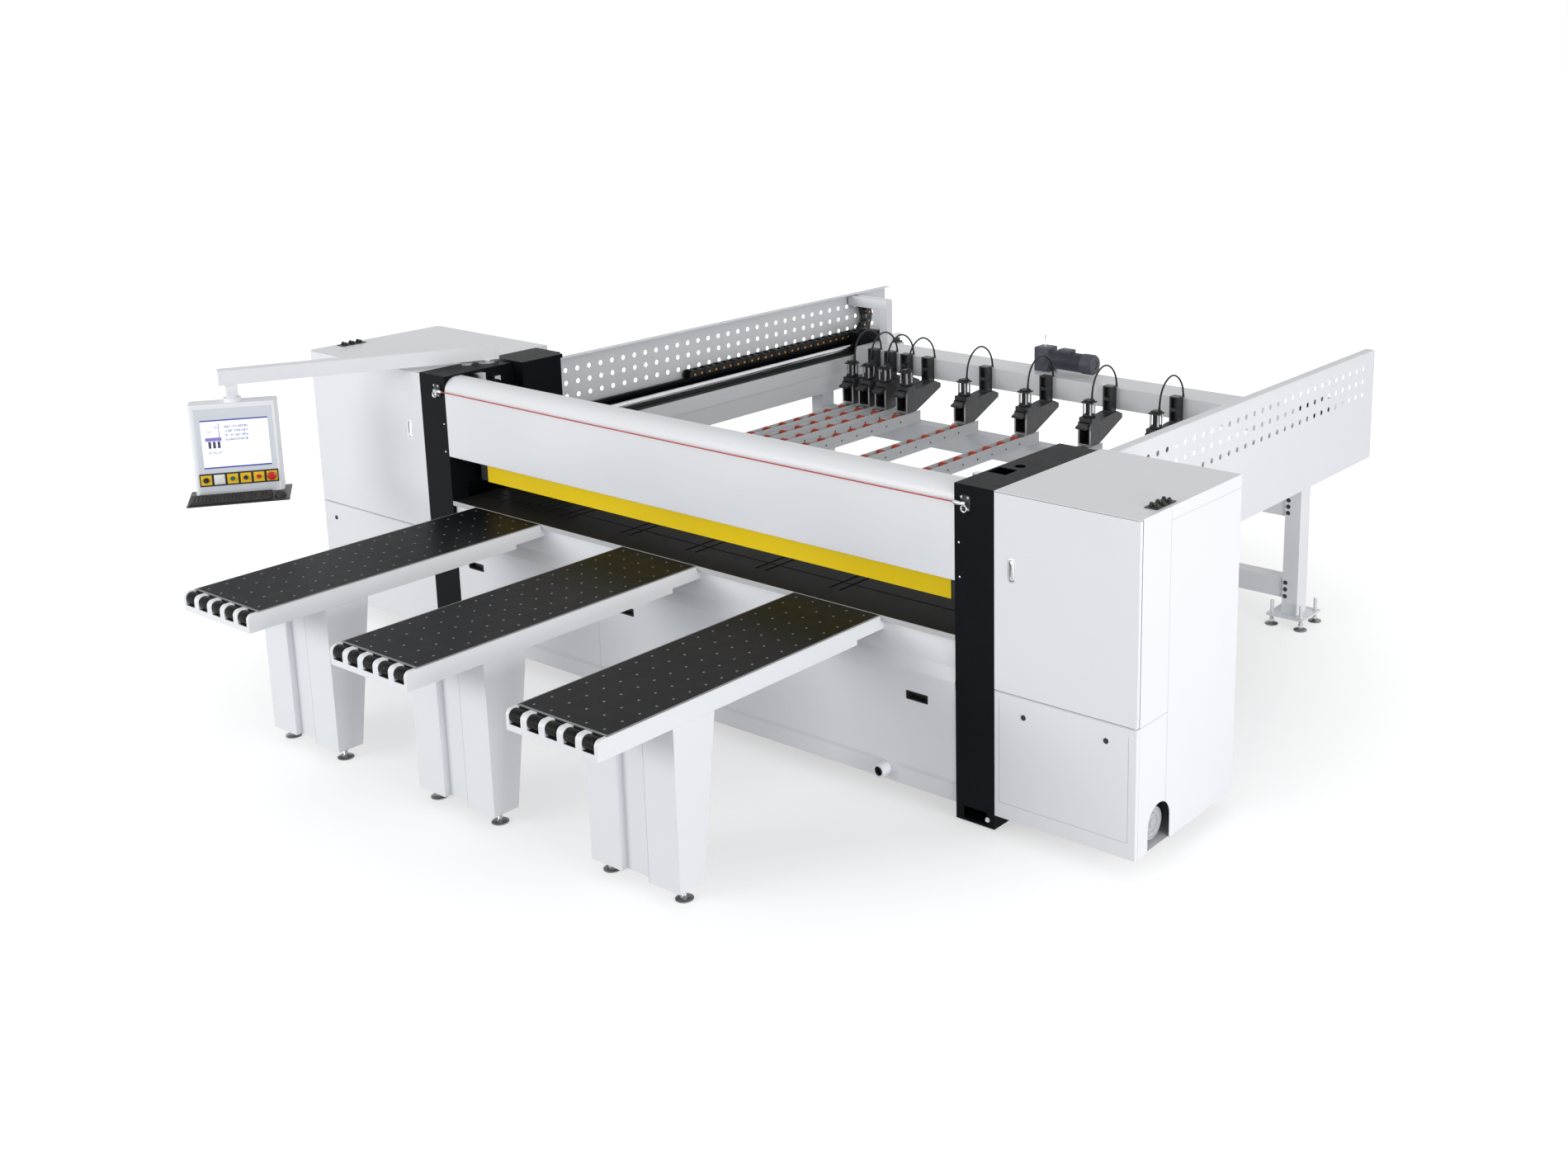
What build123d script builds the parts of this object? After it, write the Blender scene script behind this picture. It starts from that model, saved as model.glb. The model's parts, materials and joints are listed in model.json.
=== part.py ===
import os
from math import cos, pi, radians, sin, tan

from build123d import *

# All sizes in mm. X runs along the saw line, Y to the rear, Z up from the floor.
gap = 0.3  # faces that pass each other
running = 0.05  # radial, shaft in its hole
seam = 3  # round doors and panels
sheet_metal = 3
rod_sides = 12  # small and hidden round pieces
fine_sides = 16  # larger round pieces
few_sides = 8  # round pieces that repeat often
hex_sides = 6
true_round = None  # pins and bores that a piece turns on

# Overall
opening = 3550
half = opening / 2
table_height = 900
rear_end = 4010

# Portal columns
column_width = 217
column_depth = 825
column_height = table_height + 714
column_wall = 5
column_base = 12
pad_height = 10
pad_radius = 55
pad_inset = 70
column_port = (100, 95)
column_port_rear = 275
column_hole_radius = 26
column_hole_rear = 385
foot_access = (130, 60)

# Table and saw line
table_thickness = 20
saw_line = 250
saw_slot = 12
edge_thickness = 3
edge_height = 26
side_clearance = 1

# Saw base
fascia_setback = 21
fascia_height = 149
front_beam_depth = 89
base_rear = 820
rear_beam_depth = 180
rear_beam_height = 480
base_wall = 8
base_floor = 100
floor_plate = 12
sill_depth = 79
sill_height = 78
slot_bar_width = 46
slot_bar_height = 27
slot_bar_gap = 28
end_plate = 12

# Front covers
ledge_drop = 59
crease_drop = 48
crease_step = 4
kick_height = 188
kick_slope = 25
kick_step = 12
cover_bottom = 80
cover_return = 36
cover_split = -614
bend_radius = 5
hand_slot = (122, 37)
hand_slot_height = 545
hand_slot_places = (-1614, -771, -402, 1548)
outlet_radius = 30
outlet_bore = 24
outlet_place = 1350
outlet_height = 140
outlet_reach = 48

# Side cabinets
left_width = 1035
left_depth = 911
right_width = 745
right_depth = 858
cabinet_bottom = 80
cabinet_front = 24
door_seam = 688
door_depth = 20
door_sheet = 2
hinge_inset = 12
hinge_radius = 4
hinge_length = 20
latch_height = 1266
latch_size = (24, 92)
latch_thickness = 8
latch_cup_depth = 14
latch_margin = 3
latch_pin_radius = 2.5
latch_pivot_drop = 6
left_latch_inset = 124
right_latch_inset = 96
arch_radius = 92
arch_height = 203
arch_rear = 196
cabinet_foot_radius = 25
cabinet_foot_inset = 200
gland_plate = (90, 230)
gland_rear = 245
gland_inset = 55
gland_radius = 15
gland_height = 24
gland_pitch = 70

# Inside the cabinets
mounting_plate = (860, 780)
mounting_height = 1150
mounting_thickness = 4
standoff_radius = 8
standoff_spread = 0.9  # of the mounting plate
drive_size = (180, 150, 300)
drive_count = 4
drive_pitch = 200
contactor_size = (46, 90, 84)
contactor_count = 12
contactor_pitch = 58
blower_radius = 75
blower_length = 240
blower_height = 176
volute_radius = 150
volute_width = 90
volute_rise = 75

# Bridge cover and rope
bridge_depth = 120
bridge_bottom = table_height + 258
bridge_top = column_height - 8
bridge_radius = 75
bridge_return = 40
bridge_rear_drop = 64
rope_height = bridge_top - 74
rope_forward = 18
rope_radius = 3
fitting_radius = 14
fitting_length = 46
fitting_plate = (64, 84)

# Pressure beam
beam_front = 150
beam_depth = 150
beam_lift = 105
beam_height = 390
beam_wall = 8
beam_foot = 12
beam_half = half - 85
beam_slot = 24
guide_rear = 350
guide_width = 40
guide_thickness = 18
slider_half_depth = 40
slider_height = 120
slider_rise = 190
slider_clear = 5
ram_place = half - 37
ram_radius = 25
ram_length = 220
ram_top = column_height - 14
rod_radius = 10
ear_thickness = 20
ear_rise = 320
ear_half_depth = 30
strip_half = half - 135
strip_thickness = 3
strip_drop = 3
strip_height = 172

# Valve housing
valve_width = 85
valve_front = 475
valve_length = 285
valve_bottom = column_height - 284
valve_top = column_height + 8
valve_lid_reach = 115
valve_lid_overhang = 75
valve_hose_radius = 9

# Saw carriage. Its place along the saw line is that of the left end of its travel.
carriage_place = 95 - half
carriage_left = 290
carriage_right = 330
carriage_plate = 20
carriage_bottom = table_height - 460
carriage_top = table_height - 100
rail_size = 20
rail_heights = (table_height - 380, table_height - 140)
rail_half_length = half + 190
bearing_height = 64
bearing_length = 100
bearing_depth = 30
bearing_places = (-220, 180)
rack_depth = 25
rack_height = 20
rack_bottom = table_height - 260
pinion_radius = 24.5
pinion_center_drop = 25
pinion_place = 265
pinion_width = 26
pinion_shaft = 8
drive_motor_radius = 45
drive_motor_length = 186
window_margin = 10
window_top = table_height + 90
window_bottom = table_height - 470
gib_lip = 10
gib_wall = 20

# Blade lift and blades
lift_stroke = 110
lift_left = -265
lift_right = 165
lift_bottom = table_height - 340
lift_top = table_height - 160
lift_plate = 24.7
main_radius = 190
main_place = 70
main_thickness = 4.4
main_teeth = 24
main_motor_radius = 85
scoring_radius = 80
scoring_place = -205
scoring_thickness = 3.2
scoring_teeth = 16
scoring_motor_radius = 45
scoring_rise = 2
blade_rest_drop = 20
tooth_height = 7
motor_front = 320
nose_front = 12
main_nose_radius = 45
scoring_nose_radius = 25
arbor_radius = 12
arbor_length = 60
flange_radius = 50
scoring_flange_radius = 24

# Air tables
air_table_places = (-1306, -126, 1068)
air_table_width = 546
air_top_width = 538
air_table_front = 1659
skirt_bottom = table_height - 93
skirt_top_drop = 3
ledge_width = 30
notch_length = 168
notch_bottom = table_height - 70
nose_reach = 1714
nose_radius = 27
nose_roller_radius = 30
nose_roller_width = 66
nose_roller_pitch = 109
nose_roller_count = 5
nose_axle_radius = 8
nose_roller_forward = 1686
nose_roller_drop = 32
roller_clearance = 0.75
pocket_margin = 2

# Table legs
leg_front = 1317
leg_top_depth = 237
leg_bottom_depth = 137
leg_bottom = 62
leg_post_width = 190
leg_wall = 4
leg_floor = 8
leg_web_setback = 32
foot_spread = 221
foot_disc_radius = 40
foot_disc_height = 14
foot_stem_radius = 11

# Control arm and pendant
pivot = (-half - 133, 400)
arm_turn = -26.26
arm_length = 1360
arm_size = 80
arm_wall = 4
arm_bottom = column_height + 18
arm_tail = 62
post_radius = 30
post_flange_radius = 62
post_flange_height = 12
port_disc_radius = 36
port_disc_place = (-half - 169, 288)
boss_radius = 38
pendant_turn = 54.5
pendant_size = (445, 110, 505)
pendant_bottom = 1032
pendant_front_wall = 12
pendant_corner = 14
collar_radius = 46
collar_height = 22
drop_depth = 28
screen_size = (338, 270)
screen_height = 1315
screen_pocket = 7
screen_thickness = 5
button_strip_size = (396, 70)
button_strip_height = 1119
button_strip_thickness = 4
button_count = 6
button_pitch = 66
button_stem = 8
button_head = 13
button_head_thickness = 9
button_travel = 3
button_depth = 32
stop_head = 20
stop_head_thickness = 16
buzzer_radius = 15
buzzer_height = 8
tray_size = (512, 300)
tray_thickness = 8
keyboard_size = (410, 140, 18)
keyboard_left = 246
keyboard_forward = 236
mouse_radii = (30, 50)
mouse_height = 28
mouse_place = (208, -165)

# Rear carriageway
panel_outer = 167
panel_bottom = table_height - 37
panel_top = table_height + 642
panel_flange = 60
hole_radius = 14
hole_pitch = 92.4
hole_first = 901
hole_columns = int((rear_end - hole_first) / hole_pitch)
hole_rows = (table_height + 388, table_height + 470, table_height + 550)
side_beam_inner = 36
side_beam_bottom = table_height + 30
side_beam_top = table_height + 250
side_beam_step = 10
side_beam_seam = table_height + 157
side_beam_wall = 6
side_beam_end = rear_end - 30
shaft_offset = 5
shaft_height = table_height + 300
shaft_radius = 20
shaft_web = 14
shaft_foot = (60, 12)
shaft_margin = 5
post_middle = rear_end - 799
post_size = (100, 120)
post_offset = 33
post_wall = 6
post_foot = 240
post_foot_thickness = 12
post_foot_height = 60
cross_depth = 100
upper_cross = (table_height - 232, table_height - 82)
lower_cross = (163, 283)
rear_foot_inset = 25

# Roller tracks
clamp_places = (-1505, -1360, -1215, -1030, -540, -50, 440, 930)
track_width = 66
track_wall = 4
track_top = table_height - 7
track_end = post_middle + 24
roller_radius = 24
roller_width = 48
roller_drop = 3
roller_pitch = 150
roller_first = 920
roller_count = int((track_end - roller_first) / roller_pitch)
roller_play = 0.5
cheek = 3
cheek_drop = 12

# Clamps, at the rear end of the pusher travel
prong_spread = 65
prong_width = 12
prong_drop = 0.5
prong_thickness = 3
groove_width = 18
groove_depth = 3.9
groove_start = 150
pusher_front = rear_end - 620
clamp_front = pusher_front - 318
clamp_tip = clamp_front - 48
clamp_width = 98
clamp_mouth = 74
clamp_box_depth = 98
clamp_floor = 12
clamp_clear = 1
clamp_box_top = table_height + 150
clamp_shoulder = table_height + 168
clamp_heel = (table_height + 117, table_height + 145)
clamp_heel_rear = pusher_front + 50
bridge_plate = 28
bridge_plate_front = clamp_front + 13
stem_size = (66, 58)
stem_top = table_height + 335
stem_recess = (44, 64, 30)
clamp_ram_size = 62
clamp_ram_height = 112
clamp_ram_middle = clamp_front + 53
clamp_rod_radius = 8
jaw_thickness = 30
jaw_top = table_height + 146
jaw_rear = clamp_front + 88
jaw_nose = 12
jaw_slope = 44
jaw_play = 0.5
ram_end_wall = 4
hose_radius = 6
hose_offset = 14
hose_sides = 4
bend_share = 0.45  # of the shorter run at a rounded corner
hose_route = ((0, 0), (0, 120), (145, 215), (285, 120), (285, 30))

# Pusher
pusher_half = half - 75
pusher_depth = 260
pusher_bottom = table_height + 180
pusher_top = table_height + 320
pusher_wall = 8
carrier_plate = (pusher_front + 50, pusher_front + 300)
carrier_plate_thickness = 35
carrier_plate_bottom = table_height + 163
carrier_top = table_height + 390
carrier_block = (pusher_front + 100, pusher_front + 290)
carrier_half_width = 45
carrier_clear = 2
web_clear = 3
gearbox = (116, 120, 160)
gearbox_place = -190
gearbox_rear = pusher_front + 170
motor_radius = 62
motor_length = 330
motor_rise = 80
terminal_box = (100, 70, 18)

# Drag chain
chain_tray_inner = 75
chain_tray_outer = 155
chain_tray_floor = table_height + 326
chain_tray_lip = 16
chain_width = 68
chain_thickness = 56
chain_bend = 115
chain_start = 1950
chain_turn = rear_end - 390
chain_tail = 30
link_pitch = 66
link_notch = (8, 5)
bracket_leg = (135 - half, 205 - half)
bracket_front = chain_turn - 35
bracket_depth = 60
bracket_lip = 22
bracket_plate = 6

# Lengths that follow from the values above
column_outer = half + column_width
column_middle = half + column_width / 2
left_outer = -column_outer - left_width
right_outer = column_outer + right_width
table_under = table_height - table_thickness
fascia_bottom = table_under - fascia_height
front_beam_rear = fascia_setback + front_beam_depth
rear_beam_front = base_rear - rear_beam_depth
beam_bottom = table_height + beam_lift
ear_bottom = beam_bottom + ear_rise
slider_bottom = beam_bottom + slider_rise
track_floor = upper_cross[1]
roller_axis = table_height - roller_drop - roller_radius
foot_level = table_height + clamp_clear
foot_plate_top = foot_level + clamp_floor
clamp_box_rear = clamp_front + clamp_box_depth
ram_bottom = clamp_box_top + bridge_plate
ram_height_top = ram_bottom + clamp_ram_height
main_axis = table_under - blade_rest_drop - main_radius
scoring_axis = table_height + scoring_rise - scoring_radius - lift_stroke
front_of_carriage = rear_beam_front - rail_size - gap
pinion_axis = rack_bottom - pinion_center_drop
skirt_top = table_height - skirt_top_drop
nose_axis = table_height - nose_roller_drop
pendant_top = pendant_bottom + pendant_size[2]
arm_top = arm_bottom + arm_size
panel_x = half + panel_outer
beam_outer_x = panel_x - sheet_metal
chain_axis = chain_tray_floor + chain_thickness / 2
chain_middle = -half - (chain_tray_inner + chain_tray_outer) / 2
chain_top = chain_axis + 2 * chain_bend + chain_thickness / 2


def block(x, y, z):
    """Cuboid between two limits on each axis."""
    size = [end - start for start, end in (x, y, z)]
    middle = [(start + end) / 2 for start, end in (x, y, z)]
    return Pos(*middle) * Box(*size)


def rod(start, end, radius, sides=rod_sides):
    """Many-sided bar between two points, with few faces on pieces that are small or many."""
    run = Vector(*end) - Vector(*start)
    section = Circle(radius) if sides is true_round else RegularPolygon(radius, sides)
    return extrude(Plane(origin=start, z_dir=run) * section, run.length)


def bore(start, end, radius, sides=rod_sides):
    """Hole in which a rod of the radius turns or slides freely."""
    corners = 1 if sides is true_round else cos(pi / sides)
    return rod(start, end, (radius + running) / corners, sides)


def inset(limits, wall):
    return limits[0] + wall, limits[1] - wall


def around(middle, width):
    return middle - width / 2, middle + width / 2


def rect(a, b):
    """Rectangle between two limits on each drawing axis."""
    return Pos((a[0] + a[1]) / 2, (b[0] + b[1]) / 2) * Rectangle(a[1] - a[0], b[1] - b[0])


def polygon(*points):
    return make_face(Polyline(*points, close=True))


def folded(points):
    """Section of a sheet with sharp folds along its middle line."""
    return trace(Polyline(*points), sheet_metal)


def along_x(face, x):
    """Face drawn as (Y, Z), carried between two X limits."""
    return extrude(Plane.YZ.offset(x[0]) * face, x[1] - x[0])


def along_y(face, y):
    """Face drawn as (X, Z), carried between two Y limits."""
    return extrude(Plane.XZ.offset(-y[1]) * face, y[1] - y[0])


def along_z(face, z):
    """Face drawn as (X, Y), carried between two Z limits."""
    return extrude(Plane.XY.offset(z[0]) * face, z[1] - z[0])


def group(parts):
    """Separate solids kept together in one node."""
    return Compound([solid for part in parts for solid in part.solids()])


def both_sides(part):
    return [part, mirror(part, Plane.YZ)]


def swept(points, radius, sides):
    """Tube of even-sided section along a line with rounded corners."""
    legs = [Vector(*b) - Vector(*a) for a, b in zip(points, points[1:])]
    radii = []
    for before, after in zip(legs, legs[1:]):
        turn = radians(before.get_angle(after))
        radii.append(bend_share * min(before.length, after.length) / tan(turn / 2))
    line = FilletPolyline(*points, radius=radii)
    section = Plane(origin=points[0], z_dir=legs[0]) * RegularPolygon(radius, sides)
    return sweep(section, path=line)


def column():
    sides = (half, column_outer)
    shell = block(sides, (0, column_depth), (pad_height, column_height))
    hollow_height = (pad_height + column_base, column_height - column_wall)
    shell -= block(inset(sides, column_wall), inset((0, column_depth), column_wall), hollow_height)
    passage = (front_beam_rear, rear_beam_front + window_margin)
    shell -= block(around(half, 4 * column_wall), passage, (window_bottom, window_top))
    access_height = (hollow_height[0], hollow_height[0] + foot_access[1])
    return shell - block(around(column_middle, foot_access[0]), around(0, 4 * column_wall), access_height)


def right_column():
    lid = around(column_height, 4 * column_wall)
    shell = column() - block(around(column_middle - column_wall * 9, column_port[0]),
                             around(column_port_rear, column_port[1]), lid)
    hole = (column_middle - column_wall * 5, column_hole_rear)
    return shell - rod((*hole, lid[0]), (*hole, lid[1]), column_hole_radius, fine_sides)


def left_column():
    return mirror(column(), Plane.YZ)


def saw_base():
    """Three tubes, floor, rear wall and two slot bars between the end plates."""
    front_beam = ((fascia_setback, front_beam_rear), (fascia_bottom, table_under))
    rear_beam = ((rear_beam_front, base_rear), (table_under - rear_beam_height, table_under))
    floor_top = base_floor + floor_plate
    sill = ((fascia_setback, fascia_setback + sill_depth), (floor_top, floor_top + sill_height))
    bar_height = (table_under - slot_bar_height, table_under)
    sections = [rect((fascia_setback, base_rear), (base_floor, floor_top)),
                rect((base_rear - base_wall, base_rear), (floor_top, rear_beam[1][0]))]
    for side in (-1, 1):
        middle = saw_line + side * (slot_bar_gap + slot_bar_width) / 2
        sections.append(rect(around(middle, slot_bar_width), bar_height))
    for y, z in (front_beam, rear_beam, sill):
        sections.append(rect(y, z) - rect(inset(y, base_wall), inset(z, base_wall)))
    plate = rect((fascia_setback, base_rear), (base_floor, table_under))
    plate -= rect((front_beam_rear, rear_beam_front), (sill[1][1], bar_height[0]))
    plate -= rect(around(saw_line, slot_bar_gap), bar_height)
    plate -= rect((fascia_setback, fascia_setback + cover_return + seam), (sill[1][1], fascia_bottom))
    pieces = [along_x(section, inset((-half, half), end_plate)) for section in sections]
    for end in ((-half, end_plate - half), (half - end_plate, half)):
        pieces.append(along_x(plate, end))
    return group(pieces)


def front_covers():
    t = sheet_metal / 2
    ledge = fascia_bottom - ledge_drop
    top = fascia_bottom - t
    foot = kick_step + t
    profile = ((fascia_setback + cover_return, top), (fascia_setback + t, top), (t, ledge),
               (crease_step + t, ledge - crease_drop), (crease_step + t, kick_height),
               (foot, kick_height - kick_slope), (foot, cover_bottom + t),
               (foot + cover_return, cover_bottom + t))
    outline = folded(profile)
    covers = [along_x(outline, (-half + seam, cover_split - side_clearance)),
              along_x(outline, (cover_split + side_clearance, half - seam))]
    slot_depth = (-column_wall, front_beam_rear)
    openings = [block(around(place, hand_slot[0]), slot_depth, around(hand_slot_height, hand_slot[1]))
                for place in hand_slot_places]
    outlet = ((outlet_place, -outlet_reach, outlet_height), (outlet_place, fascia_setback, outlet_height))
    openings.append(rod(*outlet, outlet_radius + side_clearance, fine_sides))
    covers = [cover - openings for cover in covers]
    return group(covers + [rod(*outlet, outlet_radius, fine_sides) - rod(*outlet, outlet_bore, fine_sides)])


def worktable():
    length = (side_clearance - half, half - side_clearance)
    height = (table_under, table_height)
    front = block(length, (edge_thickness, saw_line - saw_slot / 2), height)
    rear = block(length, (saw_line + saw_slot / 2, base_rear - side_clearance), height)
    groove_height = (table_height - groove_depth, table_height + side_clearance)
    for place in clamp_places:
        for side in (-1, 1):
            middle = place + side * prong_spread / 2
            groove = block(around(middle, groove_width), (groove_start, column_depth), groove_height)
            front -= groove
            rear -= groove
    edge_limits = (table_height + side_clearance - edge_height, table_height + side_clearance)
    edge = block(length, (0, edge_thickness), edge_limits)
    return group([front, rear, edge])


def hinge_x(x, hinge_side):
    """Door hinge line of a cabinet between the X limits, on its -1 left or +1 right edge."""
    edge = x[0] + side_clearance if hinge_side < 0 else x[1] - side_clearance
    return edge - hinge_side * hinge_inset


def cabinet(x, depth, hinge_side):
    height = (cabinet_bottom, column_height)
    inner = (cabinet_front - side_clearance, depth - sheet_metal)
    shell = block(x, (cabinet_front, depth), height)
    shell -= block(inset(x, sheet_metal), inner, inset(height, sheet_metal))
    lips = ((column_height - sheet_metal, column_height), around(door_seam, sheet_metal))
    pin = hinge_x(x, hinge_side)
    reach = (-hinge_length, hinge_length)
    for lip, direction in zip(lips, reach):
        shell += block(x, (0, cabinet_front + column_wall), lip)
        level = sum(lip) / 2
        ends = [(pin, door_depth / 2, end) for end in (level, level + direction)]
        shell += rod(*ends, hinge_radius, true_round)
    return shell


def door(x, hinge_side, latch_x):
    sides = inset(x, side_clearance)
    height = (door_seam + seam + sheet_metal, column_height - sheet_metal - seam)
    leaf = block(sides, (0, door_depth), height)
    leaf -= block(inset(sides, door_sheet), (door_sheet, door_depth + 1), inset(height, door_sheet))
    cup_x = around(latch_x, latch_size[0] + 2 * latch_margin)
    cup_z = around(latch_height, latch_size[1] + 2 * latch_margin)
    wall = (-door_sheet, latch_cup_depth)
    leaf += block(inset(cup_x, -door_sheet), (0, latch_cup_depth), inset(cup_z, -door_sheet))
    leaf -= block(cup_x, (wall[0], wall[1] - door_sheet), cup_z)
    leaf += rod(*latch_axis(cup_x), latch_pin_radius, true_round)
    pin = hinge_x(x, hinge_side)
    ends = [(pin, door_depth / 2, level) for level in height]
    return leaf - bore(*ends, hinge_radius, true_round)


def latch_axis(x):
    """Ends of the latch pivot between two X limits."""
    height = latch_height + latch_size[1] / 2 - latch_pivot_drop
    depth = latch_thickness / 2 + side_clearance
    return [(end, depth, height) for end in x]


def latch(latch_x):
    width = around(latch_x, latch_size[0])
    depth = (side_clearance, side_clearance + latch_thickness)
    lever = block(width, depth, around(latch_height, latch_size[1]))
    return lever - bore(*latch_axis(width), latch_pin_radius, true_round)


left_limits = (left_outer, -column_outer)
right_limits = (column_outer, right_outer)
left_latch_x = -column_outer - left_latch_inset
right_latch_x = column_outer + right_latch_inset


def right_cabinet():
    shell = cabinet(right_limits, right_depth, 1)
    springing = cabinet_bottom + arch_height - arch_radius
    arch = rect(around(arch_rear, 2 * arch_radius), (cabinet_bottom - 1, springing))
    arch += Pos(arch_rear, springing) * Circle(arch_radius)
    return shell - along_x(arch, around(right_outer, 4 * sheet_metal))


def access_panel(x):
    sides = inset(x, side_clearance)
    height = (cabinet_bottom + seam, door_seam - seam)
    tray = block(sides, (0, cabinet_front), height)
    return tray - block(inset(sides, door_sheet), (door_sheet, column_depth), inset(height, door_sheet))


def cable_glands():
    parts = []
    for place in (left_outer + gland_inset, right_outer - gland_inset):
        plate_top = column_height + sheet_metal
        plate = block(around(place, gland_plate[0]), around(gland_rear, gland_plate[1]),
                      (column_height, plate_top))
        for spot in GridLocations(gland_pitch / 2, gland_pitch, 2, 3).locations:
            nut = spot * RegularPolygon(gland_radius, hex_sides)
            plate += along_z(Pos(place, gland_rear) * nut, (plate_top, plate_top + gland_height))
        parts.append(plate)
    return group(parts)


def electrical_panel():
    middle = sum(left_limits) / 2
    back = left_depth - sheet_metal
    front = back - drive_size[1] / 5
    board = block(around(middle, mounting_plate[0]), (front, front + mounting_thickness),
                  around(mounting_height, mounting_plate[1]))
    spread = [length * standoff_spread for length in mounting_plate]
    for spot in GridLocations(*spread, 2, 2).locations:
        x, z = middle + spot.position.X, mounting_height + spot.position.Y
        board += rod((x, front, z), (x, back, z), standoff_radius, hex_sides)
    parts = [board]
    upper = mounting_height + mounting_plate[1] / 4
    for index in range(drive_count):
        place = middle + (index - (drive_count - 1) / 2) * drive_pitch
        parts.append(block(around(place, drive_size[0]), (front - drive_size[1], front),
                           around(upper, drive_size[2])))
    lower = mounting_height - mounting_plate[1] / 4
    for index in range(contactor_count):
        place = middle + (index - (contactor_count - 1) / 2) * contactor_pitch
        parts.append(block(around(place, contactor_size[0]), (front - contactor_size[1], front),
                           around(lower, contactor_size[2])))
    return group(parts)


def blower():
    end = right_outer - blower_radius / 2
    start = end - blower_length
    motor_ends = [(x, arch_rear, blower_height) for x in (start, end)]
    motor = rod(*motor_ends, blower_radius, fine_sides)
    scroll_height = blower_height + volute_rise
    duct_x = (start - volute_width, start)
    scroll_ends = [(x, arch_rear, scroll_height) for x in duct_x]
    scroll = rod(*scroll_ends, volute_radius, fine_sides)
    scroll += block(duct_x, (arch_rear, arch_rear + volute_radius),
                    (scroll_height, scroll_height + 2 * volute_radius))
    floor = cabinet_bottom + sheet_metal
    foot = block((start - volute_width, end - blower_radius), around(arch_rear, 2 * blower_radius),
                 (floor, blower_height - blower_radius + column_wall))
    return motor + scroll + foot


def bridge_cover():
    t = sheet_metal / 2
    rear = bridge_depth - t
    profile = ((bridge_return, bridge_bottom + t), (t, bridge_bottom + t), (t, bridge_top - t),
               (rear, bridge_top - t), (rear, bridge_top - bridge_rear_drop))
    section = trace(FilletPolyline(*profile, radius=(sheet_metal, bridge_radius, sheet_metal)), sheet_metal)
    return along_x(section, (-half, half))


def rope_end():
    return half + fitting_plate[0] / 2 - fitting_length / 2


def rope_fittings():
    middle = half + fitting_plate[0]
    plate = block(around(middle, fitting_plate[0]), (-column_wall, 0),
                  around(rope_height, fitting_plate[1]))
    plate += block(around(middle, fitting_radius), (-rope_forward, 0), around(rope_height, fitting_radius))
    inner = (rope_end(), -rope_forward, rope_height)
    plate += rod(inner, (middle + fitting_length / 2, -rope_forward, rope_height), fitting_radius)
    return group(both_sides(plate))


def pull_rope():
    ends = [(side * rope_end(), -rope_forward, rope_height) for side in (-1, 1)]
    return rod(*ends, rope_radius, few_sides)


def beam_cylinders():
    middle = beam_front + beam_depth / 2
    body_ends = [(ram_place, middle, z) for z in (ram_top - ram_length, ram_top)]
    body = rod(*body_ends, ram_radius, fine_sides)
    body += block((ram_place, half), around(middle, 2 * ram_radius), (ram_top - ram_radius, ram_top))
    body -= bore(body_ends[0], (ram_place, middle, ram_top - ram_radius), rod_radius)
    rail = block((half - guide_thickness, half), around(guide_rear, guide_width),
                 (table_height + rail_size, ram_top - guide_width))
    return group(both_sides(body) + both_sides(rail))


def pressure_beam():
    y = (beam_front, beam_front + beam_depth)
    z = (beam_bottom, beam_bottom + beam_height)
    section = rect(y, z) - rect(inset(y, beam_wall), (z[0] + beam_foot, z[1] - beam_wall))
    section -= rect(around(saw_line, beam_slot), (z[0], z[0] + beam_foot))
    beam = along_x(section, (-beam_half, beam_half))
    end = (beam_half, beam_half + beam_foot)
    cheek_plate = block(end, (beam_front, guide_rear + slider_half_depth), z)
    cheek_plate -= block(end, around(saw_line, beam_slot), (z[0], z[0] + beam_foot))
    slider_z = (slider_bottom, slider_bottom + slider_height)
    slider = block((end[0], half - slider_clear), around(guide_rear, 2 * slider_half_depth), slider_z)
    groove = around(guide_rear, guide_width + 2 * gap)
    slider -= block((half - guide_thickness - gap, half), groove, slider_z)
    middle = sum(y) / 2
    ear_top = ear_bottom + ear_thickness
    ear = block((end[0], ram_place + ram_radius), around(middle, 2 * ear_half_depth), (ear_bottom, ear_top))
    rod_end = ram_top - 2 * ram_radius
    ear += rod((ram_place, middle, ear_top), (ram_place, middle, rod_end), rod_radius)
    for side in both_sides(cheek_plate + slider + ear):
        beam += side
    return beam


def safety_strip():
    z = (beam_bottom - strip_drop, beam_bottom - strip_drop + strip_height)
    return block((-strip_half, strip_half), (beam_front - strip_thickness, beam_front), z)


def valve_box():
    x = (-half, valve_width - half)
    lid_y = (valve_front, valve_front + valve_length)
    y = (valve_front, lid_y[1] - valve_lid_overhang)
    housing = block(x, y, (valve_bottom, valve_top))
    housing -= block(inset(x, sheet_metal), inset(y, sheet_metal), (valve_bottom + sheet_metal, valve_top))
    t = sheet_metal / 2
    lid_profile = ((x[0] - valve_lid_reach, valve_top + t), (x[1] + 2 * t, valve_top + t),
                   (x[1] + 2 * t, valve_top - 4 * bend_radius))
    lid = along_y(folded(lid_profile), inset(lid_y, -bend_radius))
    middle = sum(x) / 2
    ram_rear = beam_front + beam_depth / 2 + ram_radius
    run = valve_front - ram_rear
    low = ram_top - ram_length / 2
    route = ((middle, valve_front, low), (middle, valve_front - run / 3, low),
             (middle, ram_rear + run / 3, low + run / 4), (middle, ram_rear, low + run / 4))
    return group([housing, lid, swept(route, valve_hose_radius, hose_sides)])


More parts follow.
